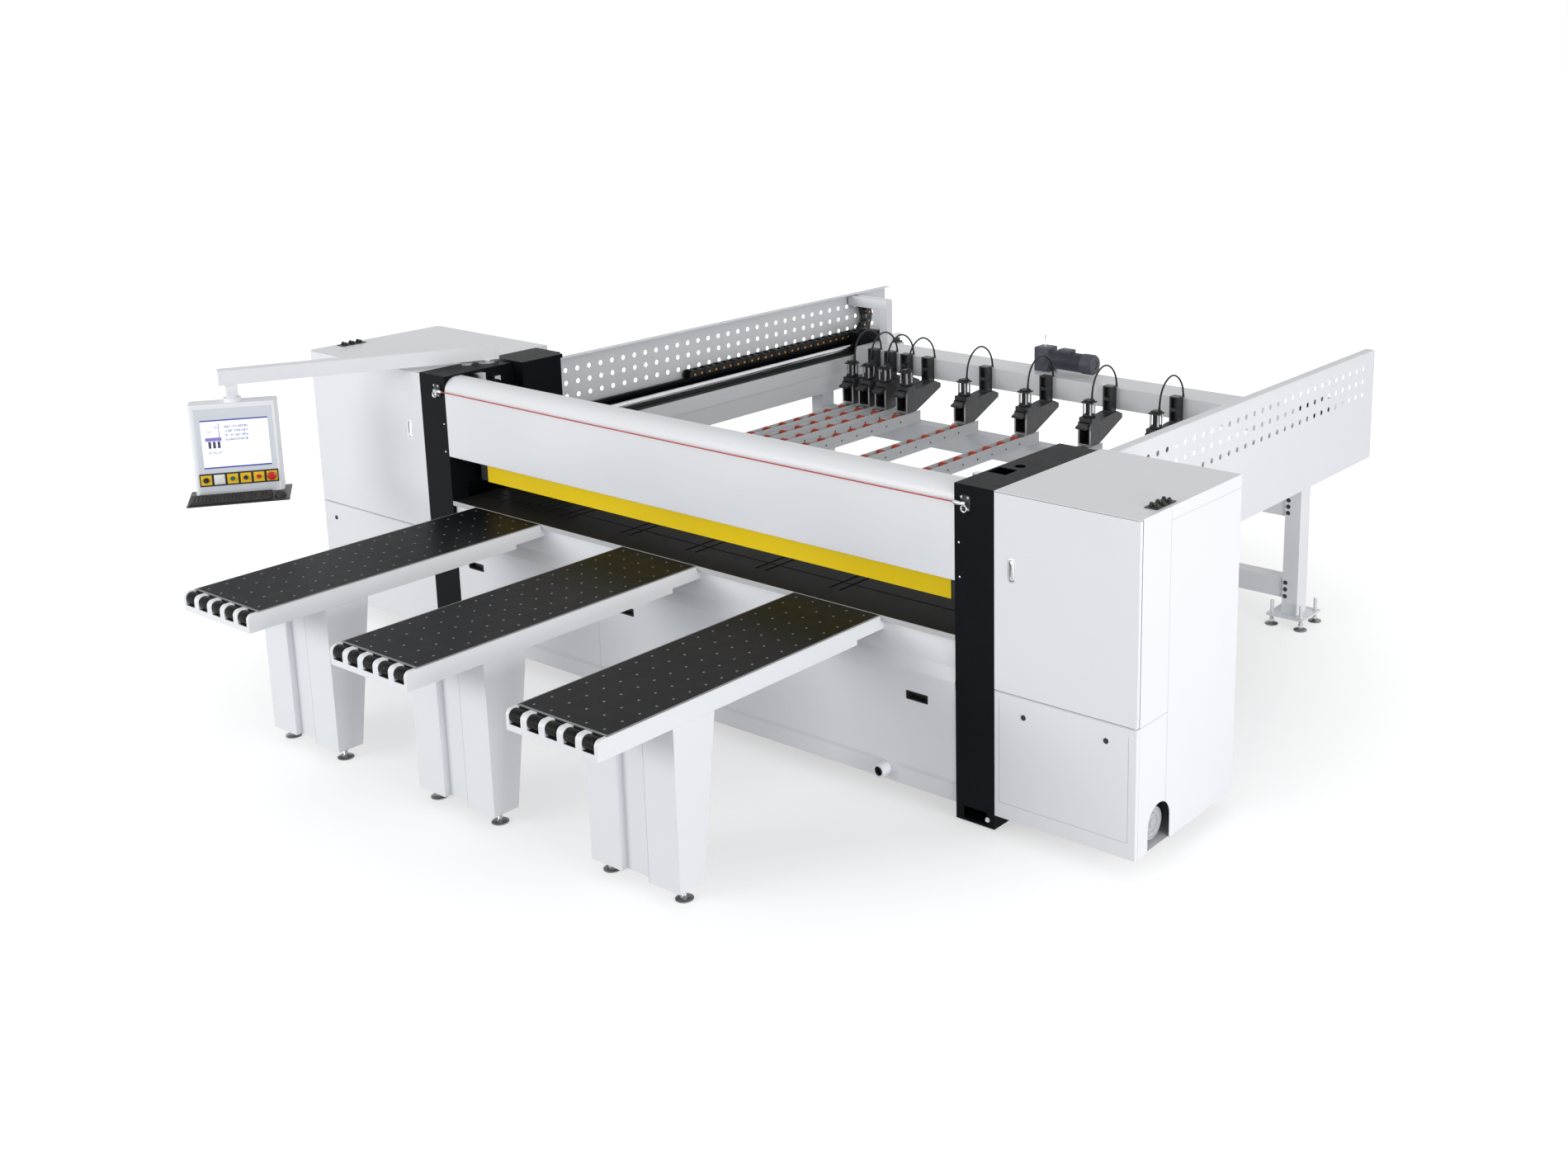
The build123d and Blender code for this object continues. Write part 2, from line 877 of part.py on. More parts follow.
def saw_rails():
    length = (-rail_half_length, rail_half_length)
    depth = (rear_beam_front - rail_size, rear_beam_front)
    rails = [block(length, depth, around(height, rail_size)) for height in rail_heights]
    rack_y = (rear_beam_front - rack_depth, rear_beam_front)
    rails.append(block(length, rack_y, (rack_bottom, rack_bottom + rack_height)))
    return group(rails)


def carriage_front():
    return rear_beam_front - rail_size - bearing_depth / 2 - carriage_plate


def saw_carriage():
    front = carriage_front()
    plate_y = (front, front + carriage_plate)
    z = (carriage_bottom, carriage_top)
    body = block((-carriage_left, carriage_right), plate_y, z)
    bearing_y = (plate_y[1], plate_y[1] + bearing_depth)
    for height in rail_heights:
        for place in bearing_places:
            body += block(around(place, bearing_length), bearing_y, around(height, bearing_height))
        body -= block((-carriage_left, carriage_right), (front_of_carriage, rear_beam_front),
                      around(height, rail_size + 2 * gap))
    lift_y = (front - gap - lift_plate - gap, front)
    for edge, side in ((lift_left - gap, -1), (lift_right + gap, 1)):
        wall = sorted((edge - side * gib_lip, edge + side * gib_wall))
        gib = block(wall, (lift_y[0] - gib_lip, front), z)
        body += gib - block(sorted((edge - side * gib_wall, edge)), lift_y, z)
    axis = (pinion_place, front, pinion_axis)
    body -= bore(axis, (pinion_place, plate_y[1], pinion_axis), pinion_shaft, true_round)
    body += rod((pinion_place, front - drive_motor_length, pinion_axis), axis, drive_motor_radius)
    return Pos(carriage_place, 0, 0) * body


def carriage_pinion():
    start = carriage_front() + side_clearance
    wheel_start = carriage_front() + carriage_plate + gap
    stations = (start, wheel_start, wheel_start + pinion_width)
    axis = [(carriage_place + pinion_place, y, pinion_axis) for y in stations]
    wheel = rod(axis[1], axis[2], pinion_radius, fine_sides)
    return wheel + rod(axis[0], axis[2], pinion_shaft, true_round)


def spindle(place, height, motor_radius, nose_radius):
    """Motor with its spindle nose, ready for a blade on the saw line."""
    rear = carriage_front() - gap - lift_plate
    nose = saw_line + nose_front
    motor = rod((place, motor_front, height), (place, rear, height), motor_radius, fine_sides)
    motor += rod((place, nose, height), (place, motor_front, height), nose_radius)
    arbor_ends = [(place, y, height) for y in (nose, nose + arbor_length)]
    return motor - bore(*arbor_ends, arbor_radius, true_round)


def blade_lift():
    rear = carriage_front() - gap
    body = block((lift_left, lift_right), (rear - lift_plate, rear), (lift_bottom, lift_top))
    body += spindle(main_place, main_axis, main_motor_radius, main_nose_radius)
    body += spindle(scoring_place, scoring_axis, scoring_motor_radius, scoring_nose_radius)
    return Pos(carriage_place, 0, 0) * body


def blade(place, height, radius, thickness, teeth, clamp_radius):
    """Toothed disc with its flange, nut and arbor stub, turning about Y."""
    rim = []
    for index in range(teeth):
        turn = 2 * pi * index / teeth
        following = turn + 2 * pi / teeth
        rim.append((radius * cos(turn), radius * sin(turn)))
        rim.append(((radius - tooth_height) * cos(following), (radius - tooth_height) * sin(following)))
    middle = (place, height)
    body = along_y(Pos(*middle) * polygon(*rim), around(saw_line, thickness))
    end = saw_line + nose_front
    body += rod((place, saw_line, height), (place, end - gap, height), clamp_radius)
    arbor_end = end + arbor_length - side_clearance
    body += rod((place, saw_line, height), (place, arbor_end, height), arbor_radius, true_round)
    nut_front = saw_line - thickness - tooth_height
    body += rod((place, nut_front, height), (place, saw_line, height), clamp_radius / 2)
    return Pos(carriage_place, 0, 0) * body


def air_table(place):
    """Frame of one air table: skirts, ledges and the roller nose with its six-sided axle."""
    x = around(place, air_table_width)
    y = (-air_table_front, fascia_setback)
    inner = inset(x, sheet_metal)
    section = rect(x, (skirt_bottom, skirt_top)) - rect(inner, (skirt_bottom + sheet_metal, skirt_top))
    for ledge in ((inner[0], inner[0] + ledge_width), (inner[1] - ledge_width, inner[1])):
        section += rect(ledge, (table_under - sheet_metal, table_under))
    frame = along_y(section, y)
    frame -= block(x, (-notch_length, fascia_setback), (skirt_bottom, notch_bottom))
    frame -= block(x, (-side_clearance, fascia_setback), (table_under - 2 * sheet_metal, skirt_top))
    nose = ((-air_table_front, skirt_top), (-nose_reach, skirt_top), (-nose_reach, skirt_bottom),
            (-air_table_front, skirt_bottom))
    outline = fillet(polygon(*nose).vertices().sort_by(Axis.X)[:2].sort_by(Axis.Y)[-1], nose_radius)
    frame += along_x(outline, x)
    reach = nose_roller_radius + pocket_margin
    for roller in roller_spots(place):
        pocket = around(roller, nose_roller_width + 2 * pocket_margin)
        frame -= block(pocket, (-nose_reach, reach - nose_roller_forward), around(nose_axis, 2 * reach))
    ends = [(side, -nose_roller_forward, nose_axis) for side in x]
    return frame + rod(*ends, nose_axle_radius, hex_sides)


def roller_spots(place):
    middle = (nose_roller_count - 1) / 2
    return [place + (index - middle) * nose_roller_pitch for index in range(nose_roller_count)]


def nose_rollers(place):
    rollers = []
    for spot in roller_spots(place):
        ends = [(end, -nose_roller_forward, nose_axis) for end in around(spot, nose_roller_width)]
        roller = rod(*ends, nose_roller_radius) - bore(*ends, nose_axle_radius, true_round)
        rollers.append(roller)
    return group(rollers)


def table_tops():
    length = (nose_roller_radius + roller_clearance - nose_roller_forward, -side_clearance)
    return group([block(around(place, air_top_width), length, (table_under, table_height))
                  for place in air_table_places])


def table_leg(place):
    def outline(wall, top):
        """Tapered side of a post, drawn in from its faces by the wall."""
        front = -leg_front + wall
        return polygon((front, leg_bottom + leg_floor * wall / leg_wall), (front, top),
                       (leg_top_depth - leg_front - wall, top),
                       (leg_bottom_depth - leg_front - wall, leg_bottom + leg_floor * wall / leg_wall))
    half_width = air_table_width / 2
    post_x = (half_width - leg_post_width, half_width)
    post = along_x(outline(0, skirt_bottom), post_x)
    post -= along_x(outline(leg_wall, skirt_bottom), inset(post_x, leg_wall))
    web_y = (leg_web_setback - leg_front, leg_web_setback + leg_wall - leg_front)
    leg = block((-post_x[0], post_x[0]), web_y, (leg_bottom, skirt_bottom))
    for side in both_sides(post):
        leg += side
    return Pos(place, 0, 0) * leg


def levelling_foot(x, y, top):
    disc = pad(x, y, foot_disc_radius, foot_disc_height)
    return disc + rod((x, y, foot_disc_height), (x, y, top), foot_stem_radius, hex_sides)


def pad(x, y, radius, top):
    return rod((x, y, 0), (x, y, top), radius, few_sides)


def levelling_feet():
    feet = []
    leg_middle = leg_bottom_depth / 2 - leg_front
    for place in air_table_places:
        for side in (-1, 1):
            feet.append(levelling_foot(place + side * foot_spread, leg_middle, leg_bottom))
    reach = post_foot / 2 - rear_foot_inset
    for side in (-1, 1):
        for x in (-reach, reach):
            for y in (-reach, reach):
                feet.append(levelling_foot(side * post_x() + x, post_middle + y, post_foot_height))
        for y in (pad_inset, column_depth - pad_inset):
            feet.append(pad(side * column_middle, y, pad_radius, pad_height))
    for x, depth in ((left_limits, left_depth), (right_limits, right_depth)):
        for spot in inset(x, cabinet_foot_inset):
            for y in (cabinet_foot_inset, depth - cabinet_foot_inset):
                feet.append(pad(spot, y, cabinet_foot_radius, cabinet_bottom))
    return group(feet)


def arm_post():
    top = column_height + post_flange_height
    flange = rod((*pivot, column_height), (*pivot, top), post_flange_radius, fine_sides)
    flange += rod((*pivot, top), (*pivot, arm_top - 2 * arm_wall), post_radius, true_round)
    disc = rod((*port_disc_place, column_height), (*port_disc_place, top), port_disc_radius, fine_sides)
    return group([flange, disc])


def at_pivot(part):
    return Pos(*pivot, 0) * Rot(0, 0, arm_turn) * part


def control_arm():
    y = (-arm_length - arm_tail, arm_tail)
    x = (-arm_size / 2, arm_size / 2)
    z = (arm_bottom, arm_top)
    tube = block(x, y, z) - block(inset(x, arm_wall), inset(y, arm_wall), inset(z, arm_wall))
    tube += rod((0, 0, z[0]), (0, 0, z[1] - arm_wall), boss_radius, fine_sides)
    tube -= bore((0, 0, z[0]), (0, 0, z[1] - arm_wall), post_radius, true_round)
    drop = ((0, -arm_length, pendant_top - drop_depth), (0, -arm_length, z[0] + arm_wall))
    tube += rod(*drop, post_radius, true_round)
    return at_pivot(tube)


def at_pendant(part):
    """Pendant drawn facing -Y round the drop tube, turned to face the operator."""
    drop = (pivot[0] + arm_length * sin(radians(arm_turn)), pivot[1] - arm_length * cos(radians(arm_turn)))
    return Pos(*drop, 0) * Rot(0, 0, pendant_turn) * part


def pendant_box():
    width, depth, _ = pendant_size
    x = (-width / 2, width / 2)
    y = (-depth / 2, depth / 2)
    z = (pendant_bottom, pendant_top)
    case = block(x, y, z)
    case = chamfer(case.edges().filter_by(Axis.Z), pendant_corner)
    hollow_y = (y[0] + pendant_front_wall, y[1] - sheet_metal)
    case -= block(inset(x, sheet_metal), hollow_y, inset(z, sheet_metal))
    pocket = (y[0], y[0] + screen_pocket)
    case -= block(around(0, screen_size[0]), pocket, around(screen_height, screen_size[1]))
    case += rod((0, 0, z[1]), (0, 0, z[1] + collar_height), collar_radius, fine_sides)
    case -= bore((0, 0, z[1] - sheet_metal), (0, 0, z[1] + collar_height), post_radius, true_round)
    for index in range(2, button_count):
        case -= button_hole(index, y[0], y[0] + pendant_front_wall)
    tray_y = (y[1] - tray_size[1], y[1])
    case += block(around(0, tray_size[0]), tray_y, (z[0] - tray_thickness, z[0]))
    return at_pendant(case)


def button_x(index):
    return (index - (button_count - 1) / 2) * button_pitch


def button_hole(index, front, rear):
    x = button_x(index)
    return bore((x, front, button_strip_height), (x, rear, button_strip_height), button_stem, few_sides)


def pendant_screen():
    rear = -pendant_size[1] / 2 + screen_pocket
    width, height = [length - 2 * gap for length in screen_size]
    pane = block(around(0, width), (rear - screen_thickness, rear), around(screen_height, height))
    return at_pendant(pane)


def button_strip():
    front = -pendant_size[1] / 2
    face = front - button_strip_thickness
    width, height = button_strip_size
    strip = block(around(0, width), (face, front), around(button_strip_height, height))
    for index in range(2, button_count):
        strip -= button_hole(index, face, front)
    buzzer = [(button_x(0), y, button_strip_height) for y in (face - buzzer_height, face)]
    strip += rod(*buzzer, buzzer_radius)
    return at_pendant(strip)


def button(index, head_radius=button_head, head_thickness=button_head_thickness):
    x = button_x(index)
    face = -pendant_size[1] / 2 - button_strip_thickness
    rear = face - button_travel - gap
    stations = (rear - head_thickness, rear, rear + button_depth)
    axis = [(x, y, button_strip_height) for y in stations]
    head = rod(axis[0], axis[1], head_radius)
    return at_pendant(head + rod(axis[1], axis[2], button_stem, few_sides))


def keyboard():
    width, depth, height = keyboard_size
    y = (-keyboard_forward, depth - keyboard_forward)
    wedge = polygon((y[0], pendant_bottom), (y[0], pendant_bottom + height / 2),
                    (y[1], pendant_bottom + height), (y[1], pendant_bottom))
    board = along_x(wedge, (-keyboard_left, width - keyboard_left))
    mouse_z = (pendant_bottom, pendant_bottom + mouse_height)
    mouse = along_z(Pos(*mouse_place) * Ellipse(*mouse_radii), mouse_z)
    return group([at_pendant(board), at_pendant(mouse)])


def side_panel():
    y = (column_depth, rear_end)
    face = rect(y, (panel_bottom, panel_top))
    holes = [Pos(hole_first + index * hole_pitch, row) * RegularPolygon(hole_radius, hex_sides)
             for row in hole_rows for index in range(hole_columns)]
    plate = along_x(face - holes, (beam_outer_x, panel_x))
    return plate + block((panel_x - panel_flange, panel_x), y, (panel_top - sheet_metal, panel_top))


def side_beam():
    inner = half - side_beam_inner
    step = inner + side_beam_step
    section = polygon((inner, side_beam_seam), (inner, side_beam_top), (beam_outer_x, side_beam_top),
                      (beam_outer_x, side_beam_bottom), (step, side_beam_bottom), (step, side_beam_seam))
    section -= offset(section, -side_beam_wall, kind=Kind.INTERSECTION)
    return along_y(section, (column_depth, side_beam_end))


def shaft_section(spare=0):
    middle = half + shaft_offset
    foot_top = side_beam_top + shaft_foot[1]
    section = Pos(middle, shaft_height) * RegularPolygon(shaft_radius + spare, fine_sides)
    web_width = shaft_web + (2 * web_clear if spare else 0)
    return section + rect(around(middle, web_width), (foot_top, shaft_height))


def guide_rail():
    middle = half + shaft_offset
    foot = rect(around(middle, shaft_foot[0]), (side_beam_top, side_beam_top + shaft_foot[1]))
    return along_y(shaft_section() + foot, (column_depth + shaft_margin, side_beam_end - shaft_margin))


def chain_tray():
    t = sheet_metal / 2
    inner = -half - chain_tray_inner - t
    outer = -half - chain_tray_outer + t
    profile = ((outer + chain_tray_inner / 2, side_beam_top + t), (outer, side_beam_top + t),
               (outer, chain_tray_floor - t), (inner, chain_tray_floor - t),
               (inner, chain_tray_floor + chain_tray_lip))
    return along_y(folded(profile), (column_depth + shaft_margin, side_beam_end))


def drag_chain():
    """Lower run lying in the tray, then the half turn up to the bracket."""
    low = around(chain_axis, chain_thickness)
    high = around(chain_axis + 2 * chain_bend, chain_thickness)
    profile = rect((chain_start, chain_turn), low) + rect((chain_turn - chain_tail, chain_turn), high)
    centre = Pos(chain_turn, chain_axis + chain_bend)
    ring = Circle(chain_bend + chain_thickness / 2) - Circle(chain_bend - chain_thickness / 2)
    reach = 2 * chain_bend
    profile += centre * (ring - rect((-reach, 0), (-reach, reach)))
    notches = []
    for index in range(1, int((chain_turn - chain_start) / link_pitch)):
        place = around(chain_start + index * link_pitch, link_notch[0])
        notches.append(rect(place, (low[1] - link_notch[1], low[1])))
    for index in range(1, int(pi * chain_bend / link_pitch)):
        turn = Rot(0, 0, index * link_pitch / chain_bend * 180 / pi - 90)
        outer = chain_bend + chain_thickness / 2
        notch = rect(around(outer, 2 * link_notch[1]), around(0, link_notch[0]))
        notches.append(centre * turn * notch)
    return along_x(profile - notches, around(chain_middle, chain_width))


def post_x():
    return half + post_offset + post_size[0] / 2


def rear_frame():
    x = (half + post_offset, half + post_offset + post_size[0])
    y = around(post_middle, post_size[1])
    foot_top = post_foot_height + post_foot_thickness
    post = block(x, y, (foot_top, side_beam_bottom))
    post -= block(inset(x, post_wall), inset(y, post_wall), (foot_top, side_beam_bottom))
    post += block(around(post_x(), post_foot), around(post_middle, post_foot), (post_foot_height, foot_top))
    left, right = both_sides(post)
    frame = left + right
    depth = around(post_middle, cross_depth)
    for z in (upper_cross, lower_cross):
        channel = rect(depth, z) - rect((depth[0] + post_wall, depth[1]), inset(z, post_wall))
        frame += along_x(channel, (-x[0], x[0]))
    return frame


def roller_tracks():
    half_width = track_width / 2
    section = rect((-half_width, half_width), (track_floor, track_floor + track_wall))
    cheek_inner = roller_width / 2 + roller_play
    for side in (-1, 1):
        outer = sorted((side * half_width, side * (half_width - track_wall)))
        section += rect(outer, (track_floor, track_top))
        inner = sorted((side * cheek_inner, side * (cheek_inner + cheek)))
        section += rect(inner, (track_floor, table_height - roller_drop - cheek_drop))
    track = along_y(section, (base_rear, track_end))
    return group([Pos(place, 0, 0) * track for place in clamp_places])


def track_rollers():
    section = Pos(0, roller_axis) * RegularPolygon(roller_radius, hex_sides)
    roller = along_x(section, around(0, roller_width))
    return group([Pos(place, roller_first + index * roller_pitch, 0) * roller
                  for place in clamp_places for index in range(roller_count)])


def pusher_beam():
    section = rect((pusher_front, pusher_front + pusher_depth), (pusher_bottom, pusher_top))
    section -= offset(section, -pusher_wall, kind=Kind.INTERSECTION)
    beam = along_x(section, (-pusher_half, pusher_half))
    y = (bracket_front, bracket_front + bracket_depth)
    channel = rect(y, (chain_top, chain_top + bracket_lip))
    channel -= rect(inset(y, bracket_plate), (chain_top + bracket_plate, chain_top + bracket_lip))
    bracket = along_x(channel, (chain_middle - chain_width / 2, bracket_leg[1]))
    bracket += block(bracket_leg, y, (pusher_top, chain_top + bracket_lip))
    return group([beam, bracket])


def pusher_carriage():
    plate_x = (pusher_half, pusher_half + carrier_plate_thickness)
    plate = block(plate_x, carrier_plate, (carrier_plate_bottom, carrier_top))
    middle = half + shaft_offset
    bottom = side_beam_top + shaft_foot[1] + carrier_clear
    body = block((plate_x[1], middle + carrier_half_width), carrier_block, (bottom, carrier_top))
    return plate + (body - along_y(shaft_section(gap), carrier_block))


def pusher_motor():
    x = around(gearbox_place, gearbox[0])
    case = block(x, around(gearbox_rear, gearbox[1]), (pusher_top, pusher_top + gearbox[2]))
    case = chamfer(case.edges().filter_by(Axis.X), bend_radius * 2)
    height = pusher_top + motor_rise
    ends = [(end, gearbox_rear, height) for end in (x[1], x[1] + motor_length)]
    case += rod(*ends, motor_radius, fine_sides)
    cowl = (x[1] + motor_length * 3 / 4, gearbox_rear, height)
    case += rod(cowl, ends[1], motor_radius + bend_radius, fine_sides)
    box_z = (height + motor_radius - bend_radius, height + motor_radius + terminal_box[2])
    box_x = around(x[1] + motor_length / 3, terminal_box[0])
    return case + block(box_x, around(gearbox_rear, terminal_box[1]), box_z)


def clamp_arm():
    """Cast arm with an open mouth at the front, prongs below and a stem up to the pusher."""
    stem_y = (pusher_front - stem_size[1], pusher_front)
    outline = polygon((clamp_front, foot_level), (clamp_front, clamp_box_top),
                      (clamp_box_rear, clamp_box_top),
                      (stem_y[0], clamp_shoulder), (pusher_front, clamp_shoulder),
                      (clamp_heel_rear, clamp_heel[1]), (clamp_heel_rear, clamp_heel[0]),
                      (clamp_box_rear, foot_level))
    arm = along_x(outline, around(0, clamp_width))
    mouth_rear = jaw_rear + jaw_play
    arm -= block(around(0, clamp_mouth), (clamp_front, mouth_rear), (foot_plate_top, clamp_box_top))
    arm += block(around(0, clamp_width), (bridge_plate_front, clamp_box_rear), (clamp_box_top, ram_bottom))
    passage = 2 * (clamp_rod_radius + side_clearance)
    arm -= block(around(0, passage), around(clamp_ram_middle, passage), (clamp_box_top, ram_bottom))
    arm += block(around(0, stem_size[0]), stem_y, (clamp_shoulder, stem_top))
    recess_middle = (clamp_shoulder + stem_top) / 2
    for side in (-1, 1):
        height = around(recess_middle + side * stem_recess[1] * 2 / 3, stem_recess[1])
        arm -= block(around(0, stem_recess[0]), (stem_y[0], stem_y[0] + stem_recess[2]), height)
    low = table_height - prong_drop - prong_thickness
    high = table_height - prong_drop
    prong = polygon((clamp_tip, low), (clamp_tip, low + prong_thickness / 3),
                    (clamp_tip + prong_width, high), (clamp_front, high),
                    (clamp_front, foot_level + clamp_floor / 2),
                    (clamp_box_rear, foot_level + clamp_floor / 2), (clamp_box_rear, low))
    for side in (-1, 1):
        arm += along_x(prong, around(side * prong_spread / 2, prong_width))
    return arm


def clamp_cylinder():
    depth = around(clamp_ram_middle, clamp_ram_size)
    body = block(around(0, clamp_ram_size), depth, (ram_bottom, ram_height_top))
    rod_ends = [(0, clamp_ram_middle, z) for z in (ram_bottom, ram_height_top - ram_end_wall)]
    return body - bore(*rod_ends, clamp_rod_radius, few_sides)


def clamp_jaw():
    low = jaw_top - jaw_thickness
    outline = polygon((clamp_tip, low), (clamp_tip, low + jaw_nose), (clamp_tip + jaw_slope, jaw_top),
                      (jaw_rear, jaw_top), (jaw_rear, low))
    jaw = along_x(outline, around(0, clamp_mouth - 2 * jaw_play))
    rod_ends = [(0, clamp_ram_middle, z) for z in (jaw_top, ram_height_top - 2 * ram_end_wall)]
    return jaw + rod(*rod_ends, clamp_rod_radius, few_sides)


def clamp_hose():
    start = clamp_ram_middle + clamp_ram_size / 6
    route = [(hose_offset, start + y, ram_height_top + z) for y, z in hose_route]
    return swept(route, hose_radius, hose_sides)


def at_clamps(part):
    return group([Pos(place, 0, 0) * part for place in clamp_places])


nodes = {
    "left_column": left_column(),
    "right_column": right_column(),
    "saw_base": saw_base(),
    "front_covers": front_covers(),
    "worktable": worktable(),
    "left_cabinet": cabinet(left_limits, left_depth, -1),
    "right_cabinet": right_cabinet(),
    "left_door": door(left_limits, -1, left_latch_x),
    "right_door": door(right_limits, 1, right_latch_x),
    "left_latch": latch(left_latch_x),
    "right_latch": latch(right_latch_x),
    "access_panels": group([access_panel(left_limits), access_panel(right_limits)]),
    "cable_glands": cable_glands(),
    "electrical_panel": electrical_panel(),
    "blower": blower(),
    "bridge_cover": bridge_cover(),
    "rope_fittings": rope_fittings(),
    "pull_rope": pull_rope(),
    "beam_cylinders": beam_cylinders(),
    "pressure_beam": pressure_beam(),
    "safety_strip": safety_strip(),
    "valve_box": valve_box(),
    "saw_rails": saw_rails(),
    "saw_carriage": saw_carriage(),
    "carriage_pinion": carriage_pinion(),
    "blade_lift": blade_lift(),
    "main_blade": blade(main_place, main_axis, main_radius, main_thickness, main_teeth, flange_radius),
    "scoring_blade": blade(scoring_place, scoring_axis, scoring_radius, scoring_thickness, scoring_teeth,
                           scoring_flange_radius),
    "air_tables": group([air_table(place) for place in air_table_places]),
    "table_tops": table_tops(),
    "table_legs": group([table_leg(place) for place in air_table_places]),
    "levelling_feet": levelling_feet(),
    "arm_post": arm_post(),
    "control_arm": control_arm(),
    "pendant_box": pendant_box(),
    "pendant_screen": pendant_screen(),
    "button_strip": button_strip(),
    "green_button": button(2),
    "black_button": button(3),
    "red_button": button(4),
    "emergency_stop": button(5, stop_head, stop_head_thickness),
    "keyboard": keyboard(),
    "side_panels": group(both_sides(side_panel())),
    "side_beams": group(both_sides(side_beam())),
    "guide_rails": group(both_sides(guide_rail())),
    "chain_tray": chain_tray(),
    "drag_chain": drag_chain(),
    "rear_frame": rear_frame(),
    "roller_tracks": roller_tracks(),
    "track_rollers": track_rollers(),
    "pusher_beam": pusher_beam(),
    "pusher_carriages": group(both_sides(pusher_carriage())),
    "pusher_motor": pusher_motor(),
    "clamp_arms": at_clamps(clamp_arm()),
    "clamp_cylinders": at_clamps(clamp_cylinder()),
    "clamp_jaws": at_clamps(clamp_jaw()),
    "clamp_hoses": at_clamps(clamp_hose()),
}
for number, place in enumerate(air_table_places, start=1):
    nodes[f"nose_rollers_{number}"] = nose_rollers(place)

# The footprint centre becomes the origin, on the floor.
footprint_front = -nose_roller_forward - nose_roller_radius
to_origin = Pos(-(left_outer + right_outer) / 2, -(footprint_front + rear_end) / 2, 0)
os.makedirs("parts", exist_ok=True)
for name, shape in nodes.items():
    export_step(group([to_origin * shape]), f"parts/{name}.step")
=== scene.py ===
import json
import math

import bmesh
import bpy
import numpy as np
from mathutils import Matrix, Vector

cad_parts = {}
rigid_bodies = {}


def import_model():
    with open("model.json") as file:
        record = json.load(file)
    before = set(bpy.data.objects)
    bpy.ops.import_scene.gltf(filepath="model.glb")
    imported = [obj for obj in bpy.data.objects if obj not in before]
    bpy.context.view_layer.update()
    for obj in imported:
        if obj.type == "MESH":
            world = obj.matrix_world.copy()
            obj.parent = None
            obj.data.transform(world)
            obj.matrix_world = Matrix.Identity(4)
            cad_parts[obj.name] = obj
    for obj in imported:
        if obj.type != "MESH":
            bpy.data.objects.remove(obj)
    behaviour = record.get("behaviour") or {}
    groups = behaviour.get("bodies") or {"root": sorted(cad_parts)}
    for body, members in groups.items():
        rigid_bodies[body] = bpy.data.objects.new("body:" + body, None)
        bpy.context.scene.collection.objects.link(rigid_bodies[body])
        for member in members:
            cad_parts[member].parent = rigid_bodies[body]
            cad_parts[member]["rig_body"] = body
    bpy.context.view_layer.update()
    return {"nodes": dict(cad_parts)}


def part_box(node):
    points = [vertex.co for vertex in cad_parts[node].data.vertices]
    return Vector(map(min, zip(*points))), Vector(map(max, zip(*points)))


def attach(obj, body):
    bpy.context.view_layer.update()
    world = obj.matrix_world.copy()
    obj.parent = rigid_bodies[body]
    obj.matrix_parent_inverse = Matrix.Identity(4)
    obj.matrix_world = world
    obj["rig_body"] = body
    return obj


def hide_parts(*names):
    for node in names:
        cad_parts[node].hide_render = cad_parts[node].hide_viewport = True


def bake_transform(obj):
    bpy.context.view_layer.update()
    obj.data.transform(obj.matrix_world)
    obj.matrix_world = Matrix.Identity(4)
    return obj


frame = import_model()
nodes = frame["nodes"]
print("frame loaded with", len(nodes), "nodes")

# Lengths below are millimetres from the middle of the opening, at the column fronts, on the floor
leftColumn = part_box("left_column")
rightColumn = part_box("right_column")
machineZero = np.array([(leftColumn[1].x + rightColumn[0].x) / 2, rightColumn[0].y, 0.0])
tablePlaces = (-1306, -126, 1068)  # the middles of the air tables
clampPlaces = (-1505, -1360, -1215, -1030, -540, -50, 440, 930)  # of the clamps and the roller tracks


def inFrame(points):  # millimetres at the machine to metres in the frame
    return np.asarray(points, float) / 1000 + machineZero


def alongAxis(axis, length):  # one such length along one axis
    return float(length / 1000 + machineZero[axis])


def newObject(name, data):  # an object at the origin of the scene
    item = bpy.data.objects.new(name, data)
    bpy.context.scene.collection.objects.link(item)
    return item


# Camera

cameraSettings = {"place": (6.530, -7.1378, 3.8084), "azimuth": 35.889, "elevation": 13.734,
                  "lens": 41.09, "sensor": 36.0, "shift": (-0.1408, -0.1164), "far": 200}


def makeCamera(settings):  # turned by the azimuth from +Y, looking down by the elevation
    camera = bpy.data.cameras.new("photoCamera")
    camera.lens = settings["lens"]
    camera.sensor_width = settings["sensor"]
    camera.shift_x, camera.shift_y = settings["shift"]
    camera.clip_end = settings["far"]
    stand = newObject("photoCamera", camera)
    around, up = math.radians(settings["azimuth"]), math.radians(settings["elevation"])
    ahead = Vector((-math.sin(around) * math.cos(up), math.cos(around) * math.cos(up), -math.sin(up)))
    stand.location = settings["place"]
    stand.rotation_euler = ahead.to_track_quat("-Z", "Y").to_euler()
    bpy.context.scene.camera = stand


makeCamera(cameraSettings)
bpy.context.scene.view_settings.view_transform = "Standard"
print("camera placed")


# Shader wiring

def operator(operation, reflected=False):  # a method that wires one step of maths
    def wire(self, other):
        return self.sum(operation, *((other, self) if reflected else (self, other)))
    return wire


